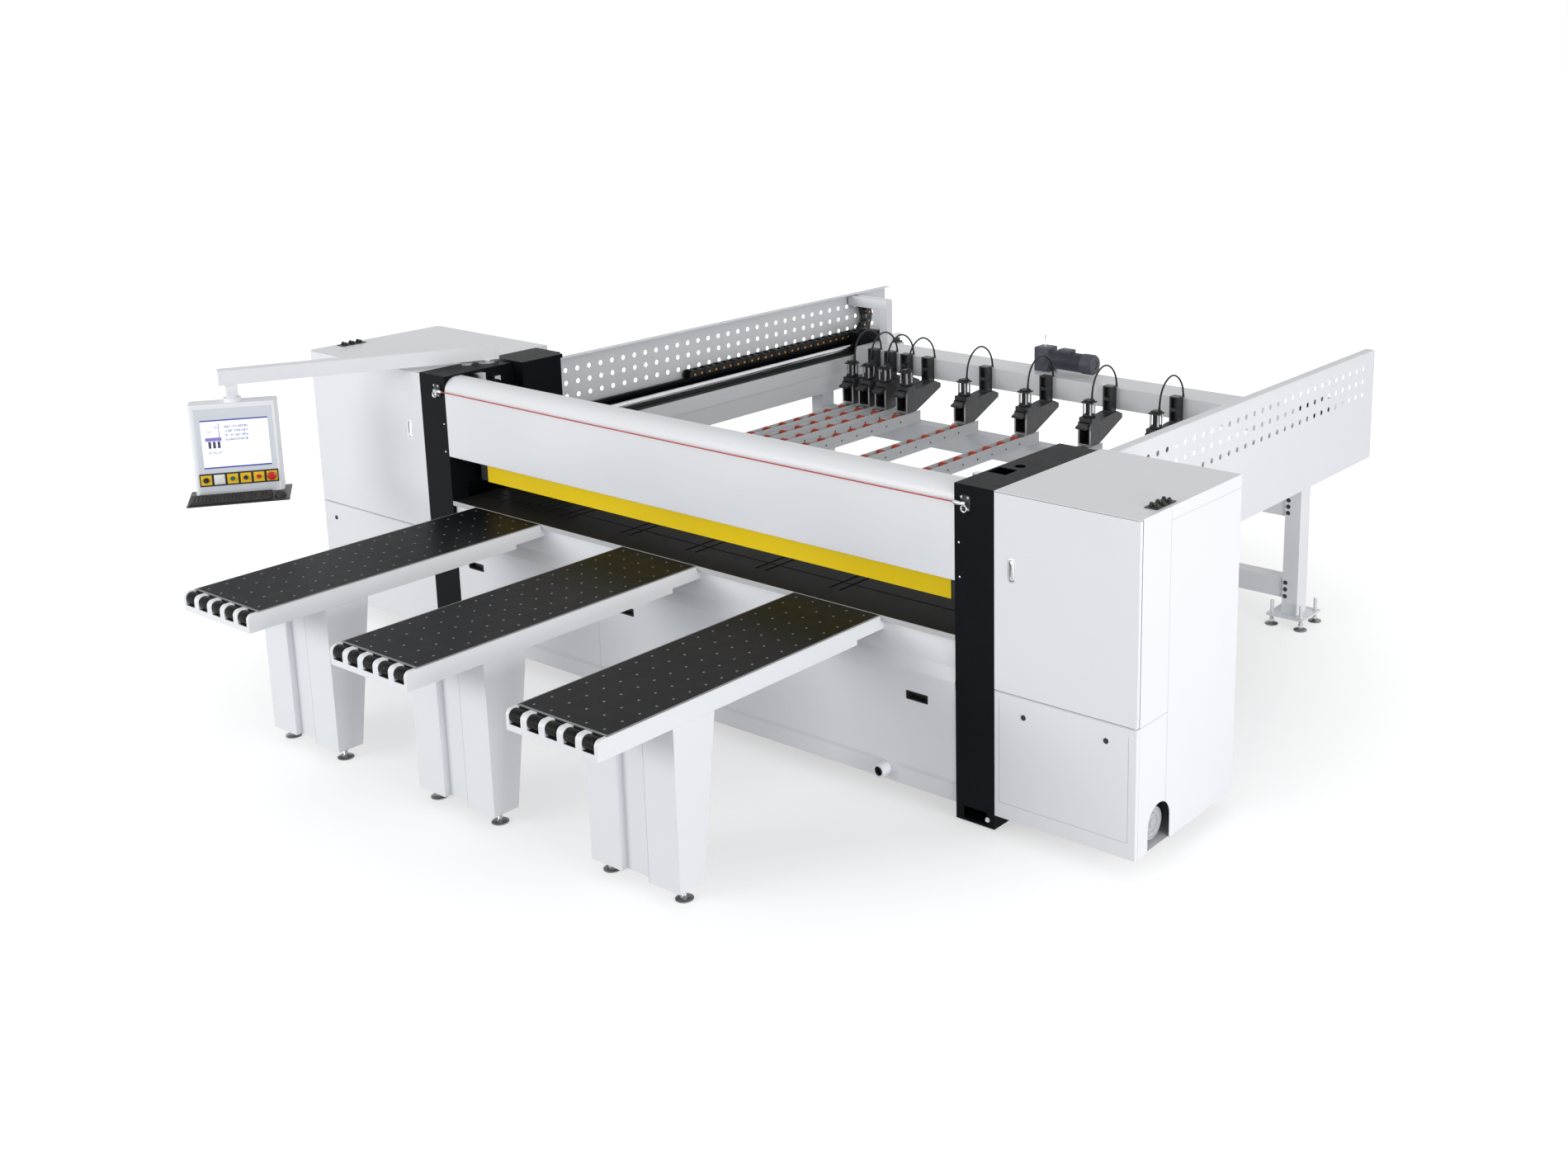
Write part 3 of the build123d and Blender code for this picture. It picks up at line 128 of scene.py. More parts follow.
class Socket:  # an output socket that takes part in sums
    __add__, __radd__ = operator("ADD"), operator("ADD", True)
    __sub__, __rsub__ = operator("SUBTRACT"), operator("SUBTRACT", True)
    __mul__, __rmul__ = operator("MULTIPLY"), operator("MULTIPLY", True)
    __or__, __ror__ = operator("MAXIMUM"), operator("MAXIMUM", True)
    __truediv__, __mod__ = operator("DIVIDE"), operator("FLOORED_MODULO")
    __gt__, __lt__ = operator("GREATER_THAN"), operator("LESS_THAN")

    def __init__(self, wiring, socket):
        self.wiring = wiring
        self.socket = socket

    def sum(self, operation, *values):  # a maths node
        return self.wiring.add("ShaderNodeMath", {"operation": operation}, dict(enumerate(values)))

    def other(self, index):  # another output of the same node
        return Socket(self.wiring, self.socket.node.outputs[index])

    def clip(self):  # kept between 0 and 1
        return self.wiring.add("ShaderNodeClamp", {}, {0: self})

    def __abs__(self):
        return self.sum("ABSOLUTE", self)


class Wiring:  # a node tree, with one way to add a node
    def __init__(self, tree):
        self.tree = tree

    def add(self, kind, settings=None, values=None, output=0):
        node = self.tree.nodes.new(kind)
        for key, value in (settings or {}).items():
            setattr(node, key, value)
        for key, value in (values or {}).items():
            self.put(node.inputs[key], value)
        return Socket(self, node.outputs[output])

    def found(self, kind):  # the node of a kind that the tree came with
        return next(node for node in self.tree.nodes if node.type == kind)

    def put(self, socket, value):  # a link from another socket, or a plain value
        if isinstance(value, Socket):
            self.tree.links.new(value.socket, socket)
        elif socket.type == "RGBA":
            socket.default_value = (*value, 1)
        else:
            socket.default_value = value

    def mix(self, mask, first, second):  # two colours by a mask
        return self.add("ShaderNodeMix", {"data_type": "RGBA"}, {0: mask, 6: first, 7: second}, 2)

    def coordinates(self, turn=0.0, centre=(0, 0, 0), size=(1, 1, 1)):  # metres from a centre
        place = self.add("ShaderNodeTexCoord", output=3)
        return self.add("ShaderNodeMapping", {"vector_type": "TEXTURE"},
                        {0: place, 1: centre, 2: (0, 0, math.radians(turn)), 3: size})

    def axes(self, vector):  # its three parts
        first = self.add("ShaderNodeSeparateXYZ", {}, {0: vector})
        return first, first.other(1), first.other(2)

    def noise(self, scale, detail=2.0, size=(1, 1, 1)):  # size stretches the pattern along an axis
        return self.add("ShaderNodeTexNoise", {}, {"Vector": self.coordinates(size=size), "Scale": scale,
                                                   "Detail": detail})

    def patches(self, level, gain, scale, detail, size=(1, 1, 1)):  # where the noise rises over a level
        return ((self.noise(scale, detail, size) - level) * gain).clip()

    def vary(self, middle, spread, mask):  # a value that drifts about its middle
        return middle - spread / 2 + mask * spread

    def band(self, value, low, high, soft=0.0004):  # 1 between two limits, with soft edges
        return ((value - low) / soft + 0.5).clip() * ((high - value) / soft + 0.5).clip()


class Finish(Wiring):  # a material round one Principled shader
    def __init__(self, name, sockets):
        self.material = bpy.data.materials.new(name)
        self.material.use_nodes = True
        super().__init__(self.material.node_tree)
        self.shader = self.found("BSDF_PRINCIPLED")
        self.feed(sockets)

    def feed(self, sockets):  # into the shader
        for key, value in sockets.items():
            self.put(self.shader.inputs[key], value)

    def bump(self, height, strength, distance):  # a height into the normal
        self.feed({"Normal": self.add("ShaderNodeBump", {}, {"Strength": strength, "Distance": distance,
                                                             "Height": height})})


paintGrain = {"drift": 1.7, "patch": 19, "spread": 0.12, "peel": 330, "depth": 0.0005}
metalGrain = {"drift": 9, "brush": 160, "spread": 0.16, "depth": 0.0003}
mouldedGrain = {"drift": 9, "patch": 60, "spread": 0.10, "depth": 0.0004}


def paint(name, dark, light, roughness, peel=0.05, specular=0.5):  # a coat with a slow drift and orange peel
    finish = Finish(name, {"Specular IOR Level": specular})
    finish.coat = finish.mix(finish.noise(paintGrain["drift"], 3), dark, light)
    patch = finish.noise(paintGrain["patch"], 4)
    finish.feed({"Base Color": finish.coat,
                 "Roughness": finish.vary(roughness, paintGrain["spread"], patch)})
    finish.bump(finish.noise(paintGrain["peel"], 2), peel, paintGrain["depth"])
    return finish


def metal(name, dark, light, roughness, lines=(1, 1, 1), depth=0.05):  # lines stretch the brushing
    finish = Finish(name, {"Metallic": 1.0})
    finish.coat = finish.mix(finish.noise(metalGrain["drift"], 3), dark, light)
    brushing = finish.noise(metalGrain["brush"], 3, lines)
    finish.feed({"Base Color": finish.coat,
                 "Roughness": finish.vary(roughness, metalGrain["spread"], brushing)})
    finish.bump(brushing, depth, metalGrain["depth"])
    return finish


def moulded(name, dark, light, roughness, grain=700, depth=0.12, specular=0.4):  # plastic with a fine grain
    finish = Finish(name, {"Specular IOR Level": specular})
    finish.coat = finish.mix(finish.noise(grain / mouldedGrain["drift"], 3), dark, light)
    patch = finish.noise(mouldedGrain["patch"], 3)
    finish.feed({"Base Color": finish.coat,
                 "Roughness": finish.vary(roughness, mouldedGrain["spread"], patch)})
    finish.bump(finish.noise(grain, 2), depth, mouldedGrain["depth"])
    return finish


whiteCoat = (0.795, 0.815, 0.850), (0.835, 0.855, 0.890)  # the dark and the light of its drift
zincCoat = (0.66, 0.67, 0.70), (0.76, 0.77, 0.79)
whitePaint = paint("whitePaint", *whiteCoat, 0.36)
panelPaint = paint("panelPaint", (0.77, 0.79, 0.83), (0.82, 0.84, 0.875), 0.40)
blackPaint = paint("blackPaint", (0.0050, 0.0062, 0.0085), (0.0080, 0.0095, 0.0125), 0.42, 0.10, 0.045)
motorPaint = paint("motorPaint", (0.060, 0.068, 0.084), (0.085, 0.095, 0.115), 0.45, 0.15, 0.3)
greyPaint = paint("greyPaint", (0.46, 0.48, 0.50), (0.52, 0.54, 0.56), 0.42, 0.10)
drivePaint = paint("drivePaint", (0.30, 0.31, 0.32), (0.36, 0.37, 0.38), 0.45, 0.10)
steel = metal("steel", (0.50, 0.51, 0.53), (0.60, 0.61, 0.63), 0.34, (1, 12, 1))
brightSteel = metal("brightSteel", (0.62, 0.63, 0.65), (0.72, 0.73, 0.75), 0.20, (1, 1, 14), 0.02)
zinc = metal("zinc", *zincCoat, 0.36, (1, 1, 1), 0.08)
chrome = metal("chrome", (0.74, 0.75, 0.77), (0.80, 0.81, 0.83), 0.16, (1, 1, 10), 0.01)
trackSheet = paint("trackSheet", (0.74, 0.76, 0.78), (0.80, 0.82, 0.835), 0.40, 0.06)
blackPlastic = moulded("blackPlastic", (0.010, 0.010, 0.011), (0.020, 0.020, 0.022), 0.48)
hoseRubber = moulded("hoseRubber", (0.006, 0.006, 0.007), (0.014, 0.014, 0.015), 0.38, 500, 0.05)
redRoller = moulded("redRoller", (0.44, 0.040, 0.014), (0.58, 0.075, 0.030), 0.50, 300, 0.10, 0.2)
redRope = moulded("redRope", (0.46, 0.030, 0.022), (0.62, 0.060, 0.045), 0.45, 260, 0.25)
redPlastic = moulded("redPlastic", (0.52, 0.010, 0.012), (0.62, 0.016, 0.018), 0.25, 500, 0.03)
greenPlastic = moulded("greenPlastic", (0.012, 0.115, 0.090), (0.020, 0.165, 0.130), 0.25, 500, 0.03)
yellowPlastic = moulded("yellowPlastic", (0.80, 0.50, 0.012), (0.86, 0.56, 0.022), 0.42, 500, 0.05)
whitePlastic = moulded("whitePlastic", (0.80, 0.80, 0.78), (0.86, 0.86, 0.84), 0.42, 500, 0.05)
orangePlastic = moulded("orangePlastic", (0.80, 0.30, 0.010), (0.88, 0.38, 0.020), 0.40, 500, 0.05)
nozzleMetal = moulded("nozzleMetal", (0.20, 0.20, 0.20), (0.28, 0.28, 0.28), 0.40, 500, 0.05)
darkSteel = paint("darkSteel", (0.020, 0.021, 0.023), (0.034, 0.035, 0.038), 0.42, 0.10, 0.35)


stripSettings = {"roughness": 0.42, "scuffs": (0.66, 9, 30, 4, (9, 1, 1)), "dull": 0.2}


def yellowStripFinish(settings):  # paint with fine scuffs along it
    roughness = settings["roughness"]
    finish = paint("yellowStrip", (0.92, 0.660, 0.014), (0.96, 0.700, 0.020), roughness, 0.05, 0.1)
    finish.feed({"Roughness": roughness + finish.patches(*settings["scuffs"]) * settings["dull"]})
    return finish


boardSettings = {"drift": 1.3, "fleck": (0.60, 8, 520, 2), "share": 0.25, "fleckColour": (0.06, 0.06, 0.06),
                 "roughness": 0.36, "spread": 0.12, "patch": 14, "grain": 650, "bump": (0.08, 0.0003)}


def boardFinish(name, edge, edgeColour, dark, light, specular):  # dark laminate, flecked, with a pale edge
    settings = boardSettings
    finish = Finish(name, {"Specular IOR Level": specular})
    ground = finish.mix(finish.noise(settings["drift"], 3), dark, light)
    fleck = finish.patches(*settings["fleck"]) * settings["share"]
    board = finish.mix(fleck, ground, settings["fleckColour"])
    x, y, z = finish.axes(finish.coordinates())
    patch = finish.noise(settings["patch"], 4)
    finish.feed({"Base Color": finish.mix(edge(x, y), board, edgeColour),
                 "Roughness": finish.vary(settings["roughness"], settings["spread"], patch)})
    finish.bump(finish.noise(settings["grain"], 2), *settings["bump"])
    return finish


edgeSettings = {"strip": 3.1, "half": 0.2625, "front": -1649, "soft": 0.001}


def worktableEdge(x, y):  # the metal strip along the front of the worktable
    return y < alongAxis(1, edgeSettings["strip"])


def airTopEdge(x, y):  # all but the inside of each air table's top
    soft, inside = edgeSettings["soft"], 0.0
    for place in tablePlaces:
        beyond = (abs(x - alongAxis(0, place)) - edgeSettings["half"]) / soft + 0.5
        inside = inside | (1 - beyond.clip())
    behind = (y - alongAxis(1, edgeSettings["front"])) / soft + 0.5
    return 1 - inside * behind.clip()


seamShadowSettings = {"soft": 0.0006, "depth": 0.62, "colour": (0.20, 0.21, 0.24)}


def seamShadowFinish(name, boxes):  # white paint with thin painted shadow lines inside the boxes, where sheets meet
    finish = paint(name, *whiteCoat, 0.36)
    axes = finish.axes(finish.coordinates())
    lines = 0.0
    for box in boxes:
        limits = inFrame(np.array(box).T).T.tolist()
        line = 1.0
        for axis, (low, high) in zip(axes, limits):
            line = line * finish.band(axis, low, high, seamShadowSettings["soft"])
        lines = lines | line
    shadow = lines * seamShadowSettings["depth"]
    finish.feed({"Base Color": finish.mix(shadow, finish.coat, seamShadowSettings["colour"])})
    return finish


rollerSpeckSettings = {"specks": (0.66, 14, 210, 3), "share": 0.7, "ground": (0.004, 0.004, 0.004),
                "pale": (0.34, 0.34, 0.34)}


def rollerFinish(settings):  # black rubber with pale specks in it
    finish = moulded("rollerRubber", (0.002, 0.002, 0.002), (0.008, 0.008, 0.008), 0.45, 240, 0.35, 0.10)
    specks = finish.patches(*settings["specks"]) * settings["share"]
    finish.feed({"Base Color": finish.mix(specks, settings["ground"], settings["pale"])})
    return finish


castSettings = {"dark": (0.020, 0.021, 0.024), "light": (0.058, 0.059, 0.062), "patches": (0.35, 2.5, 22, 4),
                "front": 3072, "edge": (-0.002, 0.0012), "below": 1.036, "bright": (0.46, 0.46, 0.46),
                "metallic": 0.7}


def castFinish(settings):  # grey-painted casting, with a pale, partly metallic band on its lower front faces
    finish = paint("castPaint", settings["dark"], settings["light"], 0.40, 0.22, 0.5)
    x, y, z = finish.axes(finish.coordinates())
    low, high = (alongAxis(1, settings["front"]) + step for step in settings["edge"])
    edge = finish.band(y, low, high) * (z < settings["below"])
    body = finish.mix(finish.patches(*settings["patches"]), settings["dark"], settings["light"])
    finish.feed({"Base Color": finish.mix(edge, body, settings["bright"]),
                 "Metallic": edge * settings["metallic"]})
    return finish


pendantSettings = {"drop": (-2509.7, -819.7), "turn": 54.5, "tray": 1.0325,
                   "trayColour": (0.016, 0.016, 0.018), "foil": (0.196, 1.046, 1.512, -0.0535),
                   "foilColour": (0.66, 0.70, 0.76), "soft": 0.002}
pendantCentre = inFrame((*pendantSettings["drop"], 0)).tolist()


def pendantAxes(finish):  # across, into and up the pendant, in metres
    return finish.axes(finish.coordinates(pendantSettings["turn"], pendantCentre))


def pendantFinish(settings):  # white case with a pale blue-grey foil on its front, and a dark keyboard tray
    finish = paint("pendantPaint", *whiteCoat, 0.38)
    across, into, up = pendantAxes(finish)
    half, low, high, front = settings["foil"]
    soft = settings["soft"]
    foil = finish.band(across, -half, half, soft) * finish.band(up, low, high, soft) * (into < front)
    case = finish.mix(foil, finish.coat, settings["foilColour"])
    finish.feed({"Base Color": finish.mix(up < settings["tray"], case, settings["trayColour"])})
    return finish


screenSettings = {"corner": (-0.169, 1.180), "text": ((0.118, 0.235), (0.150, 0.238)),
                  "short": ((0.030, 0.085), (0.185, 0.238)), "low": ((0.030, 0.100), (0.075, 0.098)),
                  "shapes": ((0.030, 0.095), (0.112, 0.150)), "block": ((0.018, 0.100), (0.152, 0.172)),
                  "rule": ((0.088, 0.092), (0.172, 0.250)), "bars": ((0.2615, 0.271), (-0.001, 0.0085)),
                  "row": 0.0235, "column": 0.023}


def screenFinish(settings):  # a plain program window: bars, blocks and rows of word-like marks
    finish = Finish("screenGlass", {"Specular IOR Level": 0.4, "Emission Strength": 0.55})
    across, into, up = pendantAxes(finish)
    left, bottom = settings["corner"]
    across, up = across - left, up - bottom  # from the lower left corner, 0.338 by 0.270

    def area(name):  # 1 inside a rectangle of the window
        wide, high = settings[name]
        return finish.band(across, *wide) * finish.band(up, *high)

    words = finish.noise(240, 2, (1, 1, 3))
    rows = ((up / settings["row"]) % 1.0 > 0.42) * (words > 0.47)
    text, low = rows * area("text"), rows * area("low")
    short = rows * area("short") * (words > 0.53)
    shapes = area("shapes") * ((across / settings["column"]) % 1.0 > 0.38)
    top, foot = (finish.band(up, *limits) for limits in settings["bars"])
    picture = finish.mix(finish.noise(8, 2), (0.74, 0.78, 0.86), (0.82, 0.85, 0.91))
    for mask, colour in ((text * 0.75, (0.10, 0.11, 0.22)), ((short | low) * 0.6, (0.14, 0.15, 0.24)),
                         (shapes, (0.03, 0.03, 0.07)), (area("block") | area("rule"), (0.16, 0.14, 0.42)),
                         (top | foot, (0.045, 0.055, 0.26))):
        picture = finish.mix(mask, picture, colour)
    finish.feed({"Base Color": picture, "Emission Color": picture,
                 "Roughness": 0.12 + finish.noise(30, 3) * 0.06})
    return finish


discSettings = {"top": 0.0185, "iron": (0.27, 0.275, 0.28)}


def footFinish(settings):  # iron discs below, bright studs and nuts above
    finish = metal("footMetal", *zincCoat, 0.36, (1, 1, 1), 0.08)
    disc = finish.axes(finish.coordinates())[2] < settings["top"]
    finish.feed({"Base Color": finish.mix(disc, finish.coat, settings["iron"])})
    return finish


yellowStrip = yellowStripFinish(stripSettings)
footMetal = footFinish(discSettings)
worktableBoard = boardFinish("worktableBoard", worktableEdge, (0.50, 0.51, 0.52), (0.018, 0.018, 0.017),
                             (0.029, 0.029, 0.027), 0.013)
airBoard = boardFinish("airBoard", airTopEdge, (0.30, 0.31, 0.32), (0.0050, 0.0055, 0.0070),
                       (0.0095, 0.0100, 0.0118), 0.05)
# cabinetPaint, accessPaint and legPaint are white paint with painted shadow lines in their seams
cabinetPaint = seamShadowFinish("cabinetPaint", [((2730, 2745), (249, 251.4), (80, 1614)),
                                             ((2730, 2745), (24, 250), (686.6, 689.4)),
                                             ((2730, 2745), (250, 860), (1552, 1554))])
accessPaint = seamShadowFinish("accessPaint", [((2696, 2698.4), (-9, 26), (158, 650)),
                                           ((2018, 2020.2), (-9, 26), (158, 660)),
                                           ((2018, 2698), (-9, 26), (157, 159.2))])
legPaint = seamShadowFinish("legPaint", [((place + 83.2, place + 86.4), (-1319, -1315), (62, 806))
                                     for place in tablePlaces])
castPaint = castFinish(castSettings)
rollerRubber = rollerFinish(rollerSpeckSettings)
pendantPaint = pendantFinish(pendantSettings)
screenGlass = screenFinish(screenSettings)
print("finishes made")


# Light and floor

lightSettings = {"key": ((13.0, -3.0, 2.2), (0.0, -1.6, 0.7), (5.0, 4.0), 650),
                 "front": ((-5.6, -13.4, 4.4), (-0.4, -1.0, 0.8), (8.0, 3.6), 700),
                 "world": (1.035, 0.736), "floor": ((0.49, 0.495, 0.50), (0.51, 0.515, 0.52)),
                 "glow": (0.52, 1.0), "near": (2.3, 5.4), "reach": 60}


def makeLight(name, place, aim, size, power):  # a large soft panel aimed at a point
    lamp = bpy.data.lights.new(name, "AREA")
    lamp.energy = power
    lamp.shape = "RECTANGLE"
    lamp.size, lamp.size_y = size
    stand = newObject(name, lamp)
    stand.location = place
    stand.rotation_euler = (Vector(aim) - Vector(place)).to_track_quat("-Z", "Y").to_euler()
    stand.visible_camera = False


def seenDirectly(wiring):  # 1 for what the camera, a gloss or glass sees
    path = wiring.add("ShaderNodeLightPath")
    return path | path.other(3) | path.other(6)


def makeWorld(settings):  # brightest at the horizon, falling evenly towards the zenith
    world = bpy.data.worlds.new("studio")
    bpy.context.scene.world = world
    world.use_nodes = True
    wiring = Wiring(world.node_tree)
    ground = wiring.found("BACKGROUND")
    seen = seenDirectly(wiring)
    wiring.put(ground.inputs["Color"], (1.0, 1.0, 1.0))
    up = wiring.axes(wiring.add("ShaderNodeTexCoord"))[2].clip()
    level = settings["world"][0] - up * settings["world"][1]
    wiring.put(ground.inputs["Strength"], seen + (1 - seen) * level)


def makeFloor(settings):  # one square that looks whiter the further it lies from the machine: its glow, seen only by camera and gloss rays, is weaker near the machine, a painted grey zone of shade round it
    reach = settings["reach"]
    mesh = bpy.data.meshes.new("floor")
    corners = [(-reach, -reach, 0), (reach, -reach, 0), (reach, reach, 0), (-reach, reach, 0)]
    mesh.from_pydata(corners, [], [(0, 1, 2, 3)])
    floor = newObject("floor", mesh)
    finish = Finish("floorPaint", {"Roughness": 0.9, "Specular IOR Level": 0.0})
    finish.feed({"Base Color": finish.mix(finish.noise(0.4, 2), *settings["floor"])})
    seen = seenDirectly(finish)
    distance = finish.add("ShaderNodeVectorMath", {"operation": "LENGTH"}, {0: finish.coordinates()}, 1)
    (low, high), (near, far) = settings["glow"], settings["near"]
    # low glow near the machine leaves painted shade round it; far off the glow is full white
    level = low + ((distance - near) / (far - near)).clip() * (high - low)
    glow = finish.add("ShaderNodeEmission", {}, {0: (1.0, 1.0, 1.0), 1: seen * level})
    glowingFloor = finish.add("ShaderNodeAddShader", {}, {0: Socket(finish, finish.shader.outputs[0]), 1: glow})
    finish.put(finish.found("OUTPUT_MATERIAL").inputs[0], glowingFloor)
    mesh.materials.append(finish.material)


makeLight("keyLight", *lightSettings["key"])
makeLight("frontLight", *lightSettings["front"])
makeWorld(lightSettings)
makeFloor(lightSettings)
print("light and floor made")


# Shapes: each is (points, faces), the points an array of rows and the faces quads into it

def gridFaces(rows, columns, closedRows=False, closedColumns=False):  # to the next row and column
    row, column = np.meshgrid(np.arange(rows - (not closedRows)), np.arange(columns - (not closedColumns)),
                              indexing="ij")
    nextRow, nextColumn = (row + 1) % rows, (column + 1) % columns
    corners = (row * columns + column, row * columns + nextColumn, nextRow * columns + nextColumn,
               nextRow * columns + column)
    return np.stack(corners, -1).reshape(-1, 4)


def surface(grid, closedRows=False, closedColumns=False):  # a grid of points with its quads
    grid = np.asarray(grid, float)
    return grid.reshape(-1, 3), gridFaces(*grid.shape[:2], closedRows, closedColumns)


def loft(rings):  # closed outlines joined in order, the first and the last drawn shut on their middles
    rings = np.asarray(rings, float)
    first, last = (np.broadcast_to(ring.mean(0), ring.shape)[None] for ring in (rings[0], rings[-1]))
    return surface(np.concatenate([first, rings, last]), closedColumns=True)


def lathe(profile, sides=24):  # a line of (radius, height) turned round Z
    radius, height = np.asarray(profile, float).T[:, :, None]
    angle = np.arange(sides) * 2 * np.pi / sides
    rings = np.broadcast_arrays(radius * np.cos(angle), radius * np.sin(angle), height)
    return surface(np.stack(rings, -1), closedColumns=True)


def roundBar(radius, low, high, sides):  # a rod round Z between two heights
    return lathe([(0, low), (radius, low), (radius, high), (0, high)], sides)


def circle(radius, points):  # evenly round from +X
    angle = np.arange(points) * 2 * np.pi / points
    return radius * np.stack([np.cos(angle), np.sin(angle)], -1)


def roundedRectangle(width, height, radius, steps=4):  # quarter circles at the corners, anticlockwise
    angle = np.linspace(0, np.pi / 2, steps + 1) + np.arange(4)[:, None] * np.pi / 2
    corner = np.array([[1, 1], [-1, 1], [-1, -1], [1, -1]]) * (width / 2 - radius, height / 2 - radius)
    return (corner[:, None] + radius * np.stack([np.cos(angle), np.sin(angle)], -1)).reshape(-1, 2)


def drawnIn(outline, distance):  # an outline moved inwards, each point along the mean of its two edge normals
    before = outline - np.roll(outline, 1, 0)
    after = np.roll(outline, -1, 0) - outline
    first, second = (np.stack([edge[:, 1], -edge[:, 0]], -1) / np.linalg.norm(edge, axis=1)[:, None]
                     for edge in (before, after))
    return outline - distance * (first + second) / (1 + (first * second).sum(1))[:, None]


def atHeight(outline, height):  # a flat outline lifted to a height
    return np.column_stack([outline, np.full(len(outline), height)])


def slab(outline, levels):  # an outline carried up through (drawn in, height) levels
    return loft([atHeight(drawnIn(outline, inwards), height) for inwards, height in levels])


def roundedLevels(low, high, radius, steps=3):  # a quarter circle in at the bottom and another at the top
    turn = np.linspace(0, np.pi / 2, steps)
    bottom = np.stack([radius * (1 - np.sin(turn)), low + radius * (1 - np.cos(turn))], -1)
    top = np.stack([radius * (1 - np.cos(turn)), high - radius * (1 - np.sin(turn))], -1)
    return np.concatenate([bottom, top])


def roundedBox(x, y, z, radius, corner=None, steps=3):  # between limits, with every edge rounded
    outline = roundedRectangle(x[1] - x[0], y[1] - y[0], corner or radius * 1.05, steps)
    return moved(slab(outline, roundedLevels(*z, radius, steps)), (sum(x) / 2, sum(y) / 2, 0))


def ringPlate(outer, inner, low, high):  # a flat plate between two outlines with as many points each
    rings = [atHeight(*step) for step in ((outer, low), (outer, high), (inner, high), (inner, low))]
    return surface(rings, closedRows=True, closedColumns=True)


def moved(shape, place):  # the place added to every point
    return shape[0] + np.asarray(place, float), shape[1]


def aimed(shape, direction, place=(0, 0, 0)):  # turns Z to the direction and moves the shape to the place
    axis = np.asarray(direction, float) / np.linalg.norm(direction)
    side = np.cross((0, 0, 1) if abs(axis[2]) < 0.9 else (0, 1, 0), axis)
    side = side / np.linalg.norm(side)
    return shape[0] @ np.stack([side, np.cross(axis, side), axis]) + np.asarray(place, float), shape[1]


def joined(*shapes):  # points end to end, faces counted on from the start of each
    starts = np.cumsum([0] + [len(points) for points, faces in shapes])
    return (np.concatenate([points for points, faces in shapes]),
            np.concatenate([faces + start for (points, faces), start in zip(shapes, starts)]))


def repeated(shape, places):  # the same shape at every place
    points, faces = shape
    places = np.asarray(places, float).reshape(-1, 3)
    starts = np.arange(len(places)) * len(points)
    return (points + places[:, None]).reshape(-1, 3), (faces + starts[:, None, None]).reshape(-1, 4)


def lattice(*axes):  # every combination of the values along each axis
    return np.stack(np.meshgrid(*axes, indexing="ij"), -1).reshape(-1, len(axes))


def spread(count, pitch):  # even steps about zero
    return (np.arange(count) - (count - 1) / 2) * pitch


def mirrored(shape):  # the shape and its image across the middle of the opening
    return joined(shape, (shape[0] * (-1, 1, 1), shape[1]))


def domed(radius, height, edge, sides=24, steps=4):  # a disc with a rounded rim and a slight crown
    turn = np.linspace(0, np.pi / 2, steps)
    rim = np.stack([radius - edge * (1 - np.cos(turn)), height - edge * (1 - np.sin(turn))], -1)
    return lathe(np.concatenate([[(0, 0), (radius, 0)], rim, [(0, height + edge * 0.3)]]), sides)


def onDrop(shape, degrees):  # turned by an angle round the axis of the pendant's drop tube
    turn = math.radians(degrees)
    spin = np.array([[math.cos(turn), math.sin(turn), 0], [-math.sin(turn), math.cos(turn), 0], [0, 0, 1]])
    return shape[0] @ spin + (*pendantSettings["drop"], 0), shape[1]


def onPendant(shape):  # from across, into and up the pendant to the machine
    return onDrop(shape, pendantSettings["turn"])


meshSettings = {"merge": 1e-5, "flat": 0.01, "sharp": 38, "nodeSharp": 30}


def pieceName(node):  # the node's two words as one
    first, second = node.split("_")
    return first + second.capitalize()


def addPiece(name, data, finish, replaces=(), body=None, riding=True):  # rides as its node does
    piece = newObject(name, data)
    data.materials.append(finish.material)
    if replaces:
        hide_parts(*replaces)
    if riding:
        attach(piece, body or nodes[replaces[0]]["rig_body"])
    return piece


def tidyMesh(mesh, sharp, normals=True):  # merges seams, smooths all but sharp edges
    build = bmesh.new()
    build.from_mesh(mesh)
    bmesh.ops.remove_doubles(build, verts=build.verts, dist=meshSettings["merge"])
    if normals:
        bmesh.ops.recalc_face_normals(build, faces=build.faces)
    else:
        bmesh.ops.dissolve_limit(build, angle_limit=meshSettings["flat"], verts=build.verts,
                                 edges=build.edges)
    build.to_mesh(mesh)
    build.free()
    mesh.shade_smooth()
    mesh.set_sharp_from_angle(angle=math.radians(sharp))


def makePiece(name, shape, finish, replaces=(), body=None, riding=True):  # from a shape
    mesh = bpy.data.meshes.new(name)
    mesh.from_pydata(inFrame(shape[0]).tolist(), [], shape[1].tolist())
    tidyMesh(mesh, meshSettings["sharp"])
    return addPiece(name, mesh, finish, replaces, body, riding)


def addDetail(name, shape, finish, body="machine"):  # a piece that stands for no node
    makePiece(name, shape, finish, body=body)


def softenNode(node, finish, width):  # a merged copy of a node with its edges rounded over
    mesh = nodes[node].data.copy()
    mesh.materials.clear()
    tidyMesh(mesh, meshSettings["nodeSharp"], normals=False)
    piece = addPiece(pieceName(node), mesh, finish, (node,))
    bevel = piece.modifiers.new("softEdges", "BEVEL")
    bevel.width = width / 1000
    bevel.segments = 2
    bevel.limit_method = "ANGLE"
    bevel.angle_limit = math.radians(meshSettings["nodeSharp"])
    bevel.harden_normals = True


def solidify(piece, thickness):  # a flat-sided sheet gets its thickness, half on each side
    wall = piece.modifiers.new("sheet", "SOLIDIFY")
    wall.thickness = thickness / 1000
    wall.offset = 0
    piece.data.shade_flat()


# Cords first: eight air hoses on the clamps and the pull rope

hoseSettings = {"start": (14, 3135.3, 1190), "route": ((0, 0), (0, 120), (145, 215), (285, 120), (285, 30)),
                "radius": 6, "length": 0.536}
ropeSettings = {"end": 1784, "forward": -18, "height": 1532, "radius": 3, "length": 3.568, "sag": 4}


